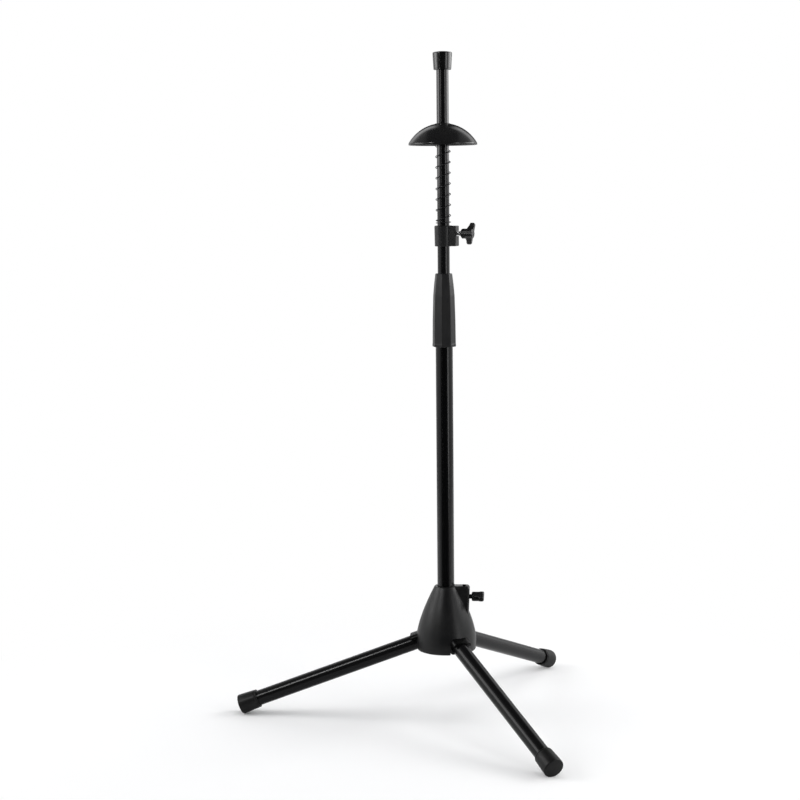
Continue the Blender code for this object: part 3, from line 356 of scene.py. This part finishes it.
wire = Finish("blackened_wire", "blackened_spring_wire", (0.024, 0.024, 0.026), 0.34, 0.75)
drawn = wire.noise(700.0, 4.0, 0.6)
wire.link(wire.mixed(wire.spread(drawn, 0.0, 1.0), (0.018, 0.018, 0.02), (0.05, 0.05, 0.052)), "Base Color")
wire.link(wire.spread(drawn, 0.26, 0.42), "Roughness")
wire.bump((wire.noise(2400.0, 3.0), 0.000012, 0.3))
wire_skin = wire.material

nylon = Finish("nylon_skin", "natural_nylon", (0.5, 0.49, 0.45), 0.42, Subsurface_Weight=0.15)
nylon.shader.inputs["Subsurface Radius"].default_value = (0.002, 0.0018, 0.0015)
nylon.link(nylon.mixed(nylon.noise(90.0), (0.46, 0.45, 0.4), (0.56, 0.55, 0.51)), "Base Color")
nylon.link(nylon.spread(nylon.noise(400.0), 0.36, 0.5), "Roughness")
nylon.bump((nylon.noise(1200.0), 0.00002, 0.25))
nylon_skin = nylon.material
print("finishes:", len(bpy.data.materials))

# %% [markdown]
# ## The rod and its cap
# The rod is a drawn tube, so its profile is a thin rectangle with broken edges. The rubber cap that
# covers its end swells a little towards the top and has a rolled lip where it grips the rod.

# %% Rod, bush and cap
ROD_RADIUS = 7.0
ROD_BORE = 5.8
rod_top, rod_foot = top("inner_rod"), foot("inner_rod")


def drawn_tube(bore, radius, low, high, edge=0.3):
    """Profile of a plain tube with broken edges; it starts and ends at the middle of the bore."""
    middle = [(bore, (low + high) / 2, 0)]
    return softened(middle + [(bore, high, edge), (radius, high, edge), (radius, low, edge), (bore, low, edge)]
                    + middle, 3)


piece("rod_tube", on_mast(turned(drawn_tube(ROD_BORE, ROD_RADIUS, rod_foot, rod_top))), rod_lacquer, "rod",
      ["inner_rod"])

cap_top, cap_mouth = top("rod_cap"), foot("rod_cap")
cap_end = rod_top + 0.3
cap = softened([(0.0, cap_top, 0), (4.9, cap_top - 0.25, 14.0), (11.24, cap_top - 1.2, 1.5),
                (10.87, cap_top - 8.0, 60.0), (10.24, cap_mouth + 1.7, 0.5), (10.04, cap_mouth + 1.35, 0.3),
                (10.11, cap_mouth + 0.95, 0.3), (10.13, cap_mouth, 0.6), (7.12, cap_mouth, 0.25),
                (7.12, cap_end, 0), (0.0, cap_end, 0)], 6)
piece("rod_cap_skin", on_mast(turned(cap)), cap_rubber, "rod", ["rod_cap"])

# %% [markdown]
# ## Main tube and the pieces in its ends
# The plug at the foot has the flange that stops the tube from being pulled out through the top of the
# hub. It shows when the stand is looked at from below, so it keeps its chamfer.

# %% Main tube and plug
TUBE_RADIUS = 10.0
TUBE_BORE = 8.8
tube_top, tube_foot = top("main_tube"), foot("main_tube")
piece("mast_tube", on_mast(turned(drawn_tube(TUBE_BORE, TUBE_RADIUS, tube_foot, tube_top))), tube_lacquer,
      "mast", ["main_tube"])

plug_foot = foot("mast_end_plug")
plug_top = top("mast_end_plug")
flange_top = tube_foot - 0.3
middle = [(6.0, (plug_foot + plug_top) / 2, 0)]
plug = softened(middle + [(6.0, plug_top, 0.3), (8.5, plug_top, 0.6), (8.5, flange_top, 0), (12.0, flange_top, 0.3),
                          (12.0, plug_foot, 0.9), (6.0, plug_foot, 0.4)] + middle, 4)
piece("mast_plug", on_mast(turned(plug)), matte_moulding, "mast", ["mast_end_plug"])

# %% [markdown]
# ## The twist grip
# The grip tapers up to the rod in a nose, has a waist with a soft edge, swells very slightly towards
# its foot and ends in a small lip. Eight flats run along it, so that fingers can turn it, and each flat
# shows as a stripe of one grey. Its outside is turned first, and then the radius is drawn in towards
# the middle of each flat, while the corners keep the outline of the round solid. The inside stays
# round and follows the clutch, so nothing shows through the gap round the rod.

# %% Grip sleeve
grip_top, grip_foot = top("grip_sleeve"), foot("grip_sleeve")
clutch_top = top("clutch_body")
collet_top = top("clutch_collet")
outside = [(7.4, grip_top, 0.25), (9.75, grip_top, 1.0), (11.3, grip_top - 13.2, 60.0),
           (12.35, grip_top - 24.9, 3.0), (12.43, grip_top - 26.4, 1.5), (13.2, grip_top - 54.4, 60.0),
           (13.5, grip_foot + 3.8, 0.3), (13.7, grip_foot + 3.2, 0.2), (13.7, grip_foot, 0.8),
           (10.4, grip_foot, 0.4)]
inside = [(10.4, tube_top - 0.3, 0), (10.9, tube_top - 0.3, 0), (10.9, clutch_top + 0.3, 0),
          (9.6, clutch_top + 0.3, 0), (9.6, clutch_top + 2.0, 0), (8.6, collet_top + 0.3, 0),
          (7.4, collet_top + 0.3, 0)]
start = [(7.4, grip_top - 4.0, 0)]
FLAT_CORNER = math.radians(-45.0 / 7)    # direction of one corner between two flats
FLAT_INSET = 0.943                       # middle of a flat as a share of the outline's radius
CORNER_PROUD = 1.01                      # corner between two flats as a share of that radius


def eight_flats(profile, t):
    """Change of radius for eight flats: r * (min(inset / cos(angle from the flat's middle), corner) - 1).

    The flats fade out on the end faces, before they reach the bore.
    """
    r, z = profile[:, :1], profile[:, 1:2]
    from_middle = (t - FLAT_CORNER) % (math.pi / 4) - math.pi / 8
    bore = np.where(z > grip_foot + 2.0, 8.4, 10.9)
    share = np.clip((r - bore) / 0.5, 0.0, 1.0)
    return share * r * (np.minimum(FLAT_INSET / np.cos(from_middle), CORNER_PROUD) - 1.0)


GRIP_STEPS = 224
grip_shape = np.concatenate([turned(softened(start + outside, 6), GRIP_STEPS, eight_flats),
                             turned(softened(inside + start), GRIP_STEPS)])
piece("twist_grip", on_mast(grip_shape), matte_moulding, "grip", ["grip_sleeve"])

# %% [markdown]
# ## The dome
# The dome that carries the bell is a thin shell cut from a sphere, with a short upright lip and a boss
# that slides on the rod. Its outside is the arc of a circle carried round the axis, and the lip is
# rounded so that it can't mark lacquer.

# %% Bell dome
DOME_RADIUS = 45.5
DOME_WALL = 2.2
RIM_RADIUS = 39.5
LIP_HEIGHT = 2.2
NECK_RADIUS = 8.6
BOSS_RADIUS = 10.8
dome_top, boss_foot = top("bell_dome"), top("spring_collar") + 106.4
centre = dome_top - 0.5 - math.sqrt(DOME_RADIUS ** 2 - NECK_RADIUS ** 2)
rim = centre + math.sqrt(DOME_RADIUS ** 2 - RIM_RADIUS ** 2) - LIP_HEIGHT


def sphere_arc(radius, start, end, points):
    """Points of a circle about the dome's middle from one distance off the axis to another.

    Each point is (R cos a, centre + R sin a), and a runs evenly between the two distances' angles.
    """
    a = np.linspace(math.acos(start / radius), math.acos(end / radius), points)
    return np.stack([radius * np.cos(a), centre + radius * np.sin(a)], 1)


def corner(radius, off):
    """Corner where a circle about the dome's middle meets an upright wall off the axis."""
    return off, centre + math.sqrt(radius ** 2 - off ** 2)


inner = DOME_RADIUS - DOME_WALL
rim_inside = RIM_RADIUS - DOME_WALL
outer_arc = sphere_arc(DOME_RADIUS, NECK_RADIUS, RIM_RADIUS - 0.9, 60)
inner_arc = sphere_arc(inner, rim_inside - 0.9, BOSS_RADIUS, 40)
lip = softened([(*outer_arc[-1], 0), (*corner(DOME_RADIUS, RIM_RADIUS), 2.0), (RIM_RADIUS, rim, 0.9),
                (rim_inside, rim, 0.9), (*corner(inner, rim_inside), 2.0), (*inner_arc[0], 0)], 5)
neck = softened([(7.4, dome_top - 3.0, 0), (7.4, dome_top, 0.2), (8.2, dome_top, 0.2),
                 (NECK_RADIUS, dome_top - 0.5, 0)])
boss = softened([(BOSS_RADIUS, boss_foot + 8.0, 0), (BOSS_RADIUS, boss_foot, 0.6), (7.4, boss_foot, 0.4),
                 (7.4, dome_top - 3.0, 0)])
profile = np.concatenate([neck, outer_arc[1:-1], lip, inner_arc[1:], boss])
piece("bell_dome_shell", on_mast(turned(profile, 128)), dome_moulding, "dome", ["bell_dome"], crease=40)
print("dome rim at", round(rim, 2), "mm")

# %% [markdown]
# ## The spring
# A compression spring is a helix whose pitch is small over the closed end turns and opens between
# them. The wire is a circle carried along that path on a frame made of the path's direction and the
# direction away from the axis. It rides on the collar.

# %% Spring path
WIRE_RADIUS = 0.55
COIL_RADIUS = 8.35
TURNS = 10.35
PER_TURN = 40
collar_top = top("spring_collar")


def spring_path():
    """Centre line: angle runs evenly, height is the running sum of a pitch that opens past each end turn."""
    bend = 2.2 * WIRE_RADIUS
    tail = 2 * WIRE_RADIUS
    low = collar_top + 0.3 + bend + tail
    high = boss_foot - 0.3 - bend - tail
    turns = np.linspace(0, TURNS, int(TURNS * PER_TURN) + 1)
    opened = np.clip((np.minimum(turns, TURNS - turns) - 1.0) / 0.4, 0, 1)
    share = np.concatenate(([0.0], np.cumsum((opened[1:] + opened[:-1]) / 2 * np.diff(turns))))
    heights = low + 1.75 * turns + (high - low - 1.75 * TURNS) * share / share[-1]
    angles = math.radians(89.0) + 2 * np.pi * turns
    coil = np.stack([COIL_RADIUS * np.cos(angles), COIL_RADIUS * np.sin(angles), heights], 1)
    ends = []
    t = np.linspace(0, np.pi / 2, 9)[1:, None]
    for sign, angle, height in ((-1, angles[0], low), (1, angles[-1], high)):
        along = np.array([[-math.sin(angle), math.cos(angle), 0.0]]) * sign
        spot = np.array([[COIL_RADIUS * math.cos(angle), COIL_RADIUS * math.sin(angle), height]])
        up = np.array([[0.0, 0.0, sign]])
        curve = spot + along * bend * np.sin(t) + up * bend * (1 - np.cos(t))
        ends.append(np.concatenate([curve, curve[-1:] + up * tail / 2, curve[-1:] + up * tail]))
    return np.concatenate([ends[0][::-1], coil, ends[1]])


def tube_along(path, radius, sides):
    """Circle carried along a path: point + radius (cos a * outward + sin a * (direction x outward))."""
    along = np.gradient(path, axis=0)
    along /= np.linalg.norm(along, axis=1, keepdims=True)
    outward = path * np.array([1.0, 1.0, 0.0])
    outward -= along * (outward * along).sum(1, keepdims=True)
    outward /= np.linalg.norm(outward, axis=1, keepdims=True)
    side = np.cross(along, outward)
    a = np.linspace(0, 2 * np.pi, sides, endpoint=False)[None, :, None]
    radii = np.full((len(path), 1, 1), radius)
    grid = path[:, None] + radii * (np.cos(a) * outward[:, None] + np.sin(a) * side[:, None])
    return np.concatenate([np.repeat(path[:1, None], sides, 1), grid, np.repeat(path[-1:, None], sides, 1)])


# %% Spring wire
path = spring_path()
coil = tube_along(path, WIRE_RADIUS, 12)[:, ::-1]
spring = piece("bell_spring_wire", on_mast(coil * MM), wire_skin, "collar", ["bell_spring"], crease=50)
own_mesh(spring)
print("spring", round((path[-1, 2] - path[0, 2]), 1), "mm long,", len(path), "points")

# %% [markdown]
# ## The threaded screws
# Between the collar's lug and its knob a short stretch of bright thread shows. A thread is a radius
# that rises and falls once for each pitch along the screw, and is shifted by one pitch round a turn.
# Writing it as that formula on a grid gives true crests that catch the light.


# %% Threads
def threaded(length, crest=3.0, depth=0.5, pitch=1.0, steps=48, per_pitch=12):
    """Grid of a thread on Z: radius = crest - depth * triangle(z / pitch - angle / turn), ends drawn in."""
    z = np.linspace(0, length, int(length / pitch * per_pitch))[:, None]
    t = np.linspace(0, 2 * np.pi, steps, endpoint=False)[None, :]
    wave = np.abs(((z / pitch - t / (2 * np.pi)) % 1.0) * 2 - 1)
    wave = np.clip((wave - 0.1) / 0.8, 0, 1)
    ends = np.clip(np.minimum(z, length - z) / 0.8, 0, 1)
    r = np.minimum(crest - depth * wave, crest - 0.7 + 0.7 * ends)
    grid = np.stack([r * np.cos(t), r * np.sin(t), z + 0 * t], -1)
    poles = np.repeat(grid[[0, -1]].mean(1, keepdims=True), steps, 1)
    return np.concatenate([poles[:1], grid, poles[1:]])[::-1] * MM


def along_x(turn, height, start):
    """Matrix that lays a piece made on Z along the horizontal screw axis that leaves the mast at an angle."""
    spot = Matrix.Translation(Vector(mast) + Vector((0, 0, height * MM)))
    return spot @ Matrix.Rotation(math.radians(turn), 4, "Z") @ Matrix.Translation((start * MM, 0, 0)) @ \
        Matrix.Rotation(math.pi / 2, 4, "Y")


def carried(grid, matrix):
    """Apply a 4 x 4 matrix to every point of a grid."""
    m = np.array(matrix)
    return grid @ m[:3, :3].T + m[:3, 3]


COLLAR_TURN = -18.0
hub_screw = (top("hub_screw_stud") + foot("hub_screw_stud")) / 2
collar_screw = (top("collar_screw_stud") + foot("collar_screw_stud")) / 2
piece("collar_thread", carried(threaded(22.0), along_x(COLLAR_TURN, collar_screw, 10.0)), zinc_plate,
      "collar_knob", ["collar_screw_stud"], crease=60)
stud_start, stud_end = [(end.x - mast[0]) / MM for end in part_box("hub_screw_stud")]
piece("hub_thread", carried(threaded(stud_end - stud_start), along_x(0.0, hub_screw, stud_start)), dark_zinc,
      "hub_knob", ["hub_screw_stud"], crease=60)

# %% [markdown]
# ## Mouldings that keep their solid's form
# The hub, the collar, the knuckles and the small turned pieces already have the right form. Their
# solids are loose triangles, so a copy is welded and its flat places are cleared of stray edges.
# Weighted normals keep the flat faces flat in the shading.


# %% Weld a copy of a solid
def welded(node, made_of, body, name, crease=32):
    """Copy a solid's mesh, weld it, clear its flat places of stray edges, and finish it."""
    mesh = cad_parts[node].data.copy()
    work = bmesh.new()
    work.from_mesh(mesh)
    bmesh.ops.remove_doubles(work, verts=work.verts, dist=2e-6)
    bmesh.ops.dissolve_limit(work, angle_limit=math.radians(0.6), verts=work.verts, edges=work.edges)
    work.to_mesh(mesh)
    work.free()
    return finished(name, mesh, made_of, body, [node], crease)


welded("hub_housing", satin_moulding, "hub", "hub_shell", crease=38)
welded("spring_collar", matte_moulding, "collar", "collar_shell", crease=38)
welded("hub_wing_knob", satin_moulding, "hub_knob", "hub_knob_shell", crease=38)
welded("collar_wing_knob", satin_moulding, "collar_knob", "collar_knob_shell", crease=38)
welded("hub_square_nut", zinc_plate, "hub", "hub_nut")
welded("hub_pressure_pad", brass_skin, "hub", "hub_pad")
welded("collar_pressure_pad", brass_skin, "collar", "collar_pad")
welded("collar_insert", brass_skin, "collar", "collar_bush")
welded("clutch_body", matte_moulding, "mast", "clutch_shell")
welded("clutch_collet", nylon_skin, "mast", "collet_shell")
welded("rod_bush", nylon_skin, "rod", "bush_shell")

# %% [markdown]
# ## The legs
# Each leg is a tube in a moulded knuckle, with a rubber foot. The tube and the foot are turned on the
# leg's own axis. The foot's end is cut by the floor, where years of standing have worn it flat: points
# that would lie under the floor are lifted to it.

# %% Leg pieces
SLOPE = math.radians(20.55)
LEG_REACH = 239.8
PIVOT_RADIUS = 24.0
FOOT_LENGTH = 23.5
pivot_height = (top("leg_pin_left") + foot("leg_pin_left")) / 2
tube = drawn_tube(7.8, 9.0, 10.0, LEG_REACH - 3.8)
mouth = LEG_REACH - FOOT_LENGTH
rubber_foot = softened([(0.0, LEG_REACH + 0.6, 0), (6.0, LEG_REACH + 0.45, 8.0), (11.7, LEG_REACH, 1.5),
                        (11.62, mouth + 16.0, 10.0), (10.9, mouth + 2.6, 1.0), (10.45, mouth + 2.2, 0.3),
                        (10.45, mouth + 1.7, 0.3), (10.85, mouth + 1.2, 0.4), (10.7, mouth, 0.55), (9.3, mouth, 0.3),
                        (9.3, LEG_REACH - 3.5, 0), (0.0, LEG_REACH - 3.5, 0)], 6)
for side, turn in {"left": 180.0, "front": -60.0, "rear": 60.0}.items():
    lean = Matrix.Translation(Vector(mast)) @ Matrix.Rotation(math.radians(turn), 4, "Z") @ \
        Matrix.Translation((PIVOT_RADIUS * MM, 0, pivot_height * MM)) @ Matrix.Rotation(SLOPE + math.pi / 2, 4, "Y")
    piece("leg_tube_skin_" + side, carried(turned(tube), lean), leg_lacquer, "leg_" + side, ["leg_tube_" + side])
    shape = carried(turned(rubber_foot), lean)
    shape[..., 2] = np.maximum(shape[..., 2], 0.0)
    piece("foot_skin_" + side, shape, foot_rubber, "leg_" + side, ["foot_cap_" + side], crease=40)
    welded("leg_knuckle_" + side, shaded_knuckle_moulding, "leg_" + side, "knuckle_shell_" + side, crease=38)
    welded("leg_pin_" + side, zinc_plate, "hub", "pin_shell_" + side)

# %% [markdown]
# ## Studio
# A product shot on white: a sheet of paper that runs out to white and rises behind the stand, soft
# boxes at both sides and one overhead. A black object is drawn by what it reflects, so the boxes stand
# where the photograph's bright bands are. The overhead box only lights the paper, because the dome's
# dark middle shows that nothing bright hung above the real one. A small key lamp high at the front
# left and a card behind the hub act on gloss alone: one draws the fine line along the left leg, the
# other lights the top of the hub's lug.

# %% Levels of the studio
AMBIENT = 0.47                   # light from the surround on dull surfaces
SIDE_REACH = (0.5, 0.65)         # how far to the side gloss starts to see the walls, and is fully in them
FRONT_PULL = 0.32                # how much nearer to the camera's axis the walls reach behind than in front
DARK_BEHIND = (0.87, 0.92)       # straight behind, the walls end again
LEFT_LEVEL = 1.1
RIGHT_LEVEL = 1.2
LOW_SHARE = 0.45                 # level near the floor as a share of the level above it
UPPER_FROM = (0.3, 0.5)          # elevations over which the walls fall to their upper level
UPPER_SHARE = 0.42               # level high up as a share of the full one
WALL_TOP = (0.85, 0.97)          # elevations over which the walls end
BAND_LEVEL = 1.8                 # a bright band high behind, on both sides of the middle
BAND_FROM, BAND_TO = (0.52, 0.68), (0.8, 0.87)
SLIT_AT, SLIT_LEVEL = -0.55, 6.0 # a narrow gap of light at the front left, just above lens height
FLOOR_FADE = (0.14, 0.6)         # metres over which the paper runs out to white
PAPER_WIDTH = 2.8
PAPER_FRONT, PAPER_BACK, PAPER_RISE = -0.26, 3.2, 1.3

# %% Floor
paper = bpy.data.materials.new("pale_paper")
paper.use_nodes = True
tree = paper.node_tree
shade = tree.nodes["Principled BSDF"]
shade.inputs["Base Color"].default_value = (0.9, 0.9, 0.9, 1.0)
shade.inputs["Roughness"].default_value = 0.7
place = shader_node(tree, "ShaderNodeTexCoord")
distance = shader_node(tree, "ShaderNodeVectorMath", {0: place.outputs["Object"]}, operation="LENGTH")
fade = shader_node(tree, "ShaderNodeMapRange", {"Value": distance.outputs["Value"], "From Min": FLOOR_FADE[0],
                                                "From Max": FLOOR_FADE[1]}, interpolation_type="SMOOTHSTEP")
rays = shader_node(tree, "ShaderNodeLightPath")
seen = shader_node(tree, "ShaderNodeMath", {0: fade.outputs[0], 1: rays.outputs["Is Camera Ray"]},
                   operation="MULTIPLY")
white = shader_node(tree, "ShaderNodeEmission", {"Color": (1.0, 1.0, 1.0, 1.0)})
blend = shader_node(tree, "ShaderNodeMixShader", {0: seen.outputs[0], 1: shade.outputs[0], 2: white.outputs[0]})
tree.links.new(blend.outputs[0], tree.nodes["Material Output"].inputs["Surface"])


def sheet_of_paper(name, sides):
    """Flat sheets between pairs of (y, z) lines, as wide as the studio."""
    half = PAPER_WIDTH / 2
    corners = [(x, y, z) for y, z in sides for x in (-half, half)]
    faces = [(i, i + 1, i + 3, i + 2) for i in range(0, len(corners) - 2, 2)]
    mesh = bpy.data.meshes.new(name)
    mesh.from_pydata(corners, [], faces)
    mesh.materials.append(paper)
    made = bpy.data.objects.new(name, mesh)
    bpy.context.scene.collection.objects.link(made)
    return made


sheet_of_paper("studio_floor", [(PAPER_FRONT, 0.0), (PAPER_BACK, 0.0), (PAPER_BACK, PAPER_RISE)])
front_paper = sheet_of_paper("studio_floor_front", [(-2.2, 0.0), (PAPER_FRONT, 0.0)])
front_paper.visible_glossy = False
front_paper.visible_diffuse = False

# %% [markdown]
# ### What gloss sees
# The surround is white for the camera. Gloss sees it bright at both sides and dark in front and
# straight behind, which is what draws a dark edge, a light band inside it and a dark middle on every
# turned piece. A narrow slit of light at the front left adds the fine line on the rod and its cap.

# %% World
world = bpy.data.worlds.new("studio_world")
bpy.context.scene.world = world
world.use_nodes = True
tree = world.node_tree
tree.nodes.clear()
rays = shader_node(tree, "ShaderNodeLightPath").outputs
heading = shader_node(tree, "ShaderNodeTexCoord")
apart = shader_node(tree, "ShaderNodeSeparateXYZ", {0: heading.outputs["Generated"]}).outputs


def at_side(value, start, end, level):
    """Brightness that rises smoothly from nothing to a level between two values."""
    return shader_node(tree, "ShaderNodeMapRange", {"Value": value, "From Min": start, "From Max": end,
                                                    "To Max": level}, interpolation_type="SMOOTHSTEP").outputs[0]


def worked(operation, first, second):
    """Arithmetic on two values in the world's tree."""
    return shader_node(tree, "ShaderNodeMath", {0: first, 1: second}, operation=operation).outputs[0]


away = worked("ADD", worked("ABSOLUTE", apart["X"], 0.0), worked("MULTIPLY", apart["Y"], FRONT_PULL))
sides = worked("ADD", LEFT_LEVEL, at_side(apart["X"], -0.1, 0.1, RIGHT_LEVEL - LEFT_LEVEL))
sides = worked("MULTIPLY", sides, at_side(away, *SIDE_REACH, 1.0))
sides = worked("MULTIPLY", sides, worked("ADD", LOW_SHARE, at_side(apart["Z"], -0.25, 0.05, 1 - LOW_SHARE)))
sides = worked("MULTIPLY", sides, worked("SUBTRACT", 1.0, at_side(apart["Z"], *UPPER_FROM, 1 - UPPER_SHARE)))
sides = worked("MULTIPLY", sides, worked("SUBTRACT", 1.0, at_side(apart["Z"], *WALL_TOP, 1.0)))
sides = worked("MULTIPLY", sides, worked("SUBTRACT", 1.0, at_side(apart["Y"], *DARK_BEHIND, 1.0)))
band = worked("MULTIPLY", at_side(apart["Y"], *BAND_FROM, BAND_LEVEL), at_side(apart["Z"], 0.25, 0.42, 1.0))
band = worked("MULTIPLY", band, worked("SUBTRACT", 1.0, at_side(apart["Y"], *BAND_TO, 1.0)))
band = worked("MULTIPLY", band, at_side(worked("ABSOLUTE", apart["X"], 0.0), 0.1, 0.25, 1.0))
slit = at_side(worked("ABSOLUTE", worked("SUBTRACT", apart["X"], SLIT_AT), 0.0), 0.1, 0.04, SLIT_LEVEL)
slit = worked("MULTIPLY", slit, at_side(apart["Y"], 0.0, -0.1, 1.0))
slit = worked("MULTIPLY", slit, at_side(apart["Z"], 0.022, 0.034, 1.0))
slit = worked("MULTIPLY", slit, at_side(apart["Z"], 0.12, 0.09, 1.0))
gloss = worked("ADD", worked("MAXIMUM", sides, band), worked("ADD", slit, 0.02))
gloss = worked("MAXIMUM", gloss, rays["Is Camera Ray"])
direct = worked("MAXIMUM", worked("MAXIMUM", rays["Is Camera Ray"], rays["Is Glossy Ray"]),
                rays["Is Transmission Ray"])
lit = shader_node(tree, "ShaderNodeBackground", {"Color": (0.97, 0.98, 1.0, 1.0), "Strength": AMBIENT})
shown = shader_node(tree, "ShaderNodeBackground", {"Color": (1.0, 1.0, 1.0, 1.0), "Strength": gloss})
blend = shader_node(tree, "ShaderNodeMixShader", {0: direct, 1: lit.outputs[0], 2: shown.outputs[0]})
shader_node(tree, "ShaderNodeOutputWorld", {"Surface": blend.outputs[0]})


# %% Soft boxes
def soft_box(name, spot, size, power):
    """Rectangular area light at a spot, turned to face the middle of the stand."""
    light = bpy.data.lights.new(name, "AREA")
    light.shape = "RECTANGLE"
    light.size, light.size_y = size
    light.energy = power
    holder = bpy.data.objects.new(name, light)
    bpy.context.scene.collection.objects.link(holder)
    aim = Vector((mast[0], mast[1], 0.38)) - Vector(spot)
    holder.matrix_world = Matrix.Translation(spot) @ aim.to_track_quat("-Z", "Y").to_matrix().to_4x4()
    return holder


soft_box("box_right", (1.5, 0.45, 1.05), (1.4, 0.8), 19.0)
soft_box("box_right_front", (1.25, -0.95, 0.6), (0.3, 1.2), 5.0)
soft_box("box_left", (-1.5, -0.1, 1.0), (1.1, 0.8), 14.0)
key = soft_box("box_key", (-1.45, -1.7, 1.97), (0.5, 0.5), 26.0)
key.visible_diffuse = False
card = soft_box("card_behind", (0.07, 0.7, 0.34), (0.24, 0.16), 0.24)
card.visible_diffuse = False
card.visible_camera = False
overhead = soft_box("box_above", (0.0, 0.3, 2.1), (1.6, 1.4), 9.0)
overhead.visible_glossy = False

# %% [markdown]
# ## Camera
# The picture was taken from about two metres with the lens a little above the dome, looking slightly
# down. These values came from matching the stand's axis, feet and collar heights to the picture.

# %% Camera
PITCH, YAW, ROLL = math.radians(7.08), math.radians(-4.187), math.radians(-0.58)
FOCAL_PIXELS = 1720.0
IMAGE_WIDTH = 800.0
ahead = Vector((math.sin(YAW) * math.cos(PITCH), math.cos(YAW) * math.cos(PITCH), -math.sin(PITCH)))
right = Vector((math.cos(YAW), -math.sin(YAW), 0.0))
up = right.cross(ahead)
across = right * math.cos(ROLL) + up * math.sin(ROLL)
upright = up * math.cos(ROLL) - right * math.sin(ROLL)
lens = bpy.data.cameras.new("camera")
lens.sensor_width = 36.0
lens.lens = lens.sensor_width * FOCAL_PIXELS / IMAGE_WIDTH
camera = bpy.data.objects.new("camera", lens)
bpy.context.scene.collection.objects.link(camera)
turn = Matrix((across, upright, -ahead)).transposed().to_4x4()
camera.matrix_world = Matrix.Translation((mast[0] + 0.09367, mast[1] - 1.9938, 0.628)) @ turn
bpy.context.scene.camera = camera
bpy.context.scene.view_settings.view_transform = "Standard"
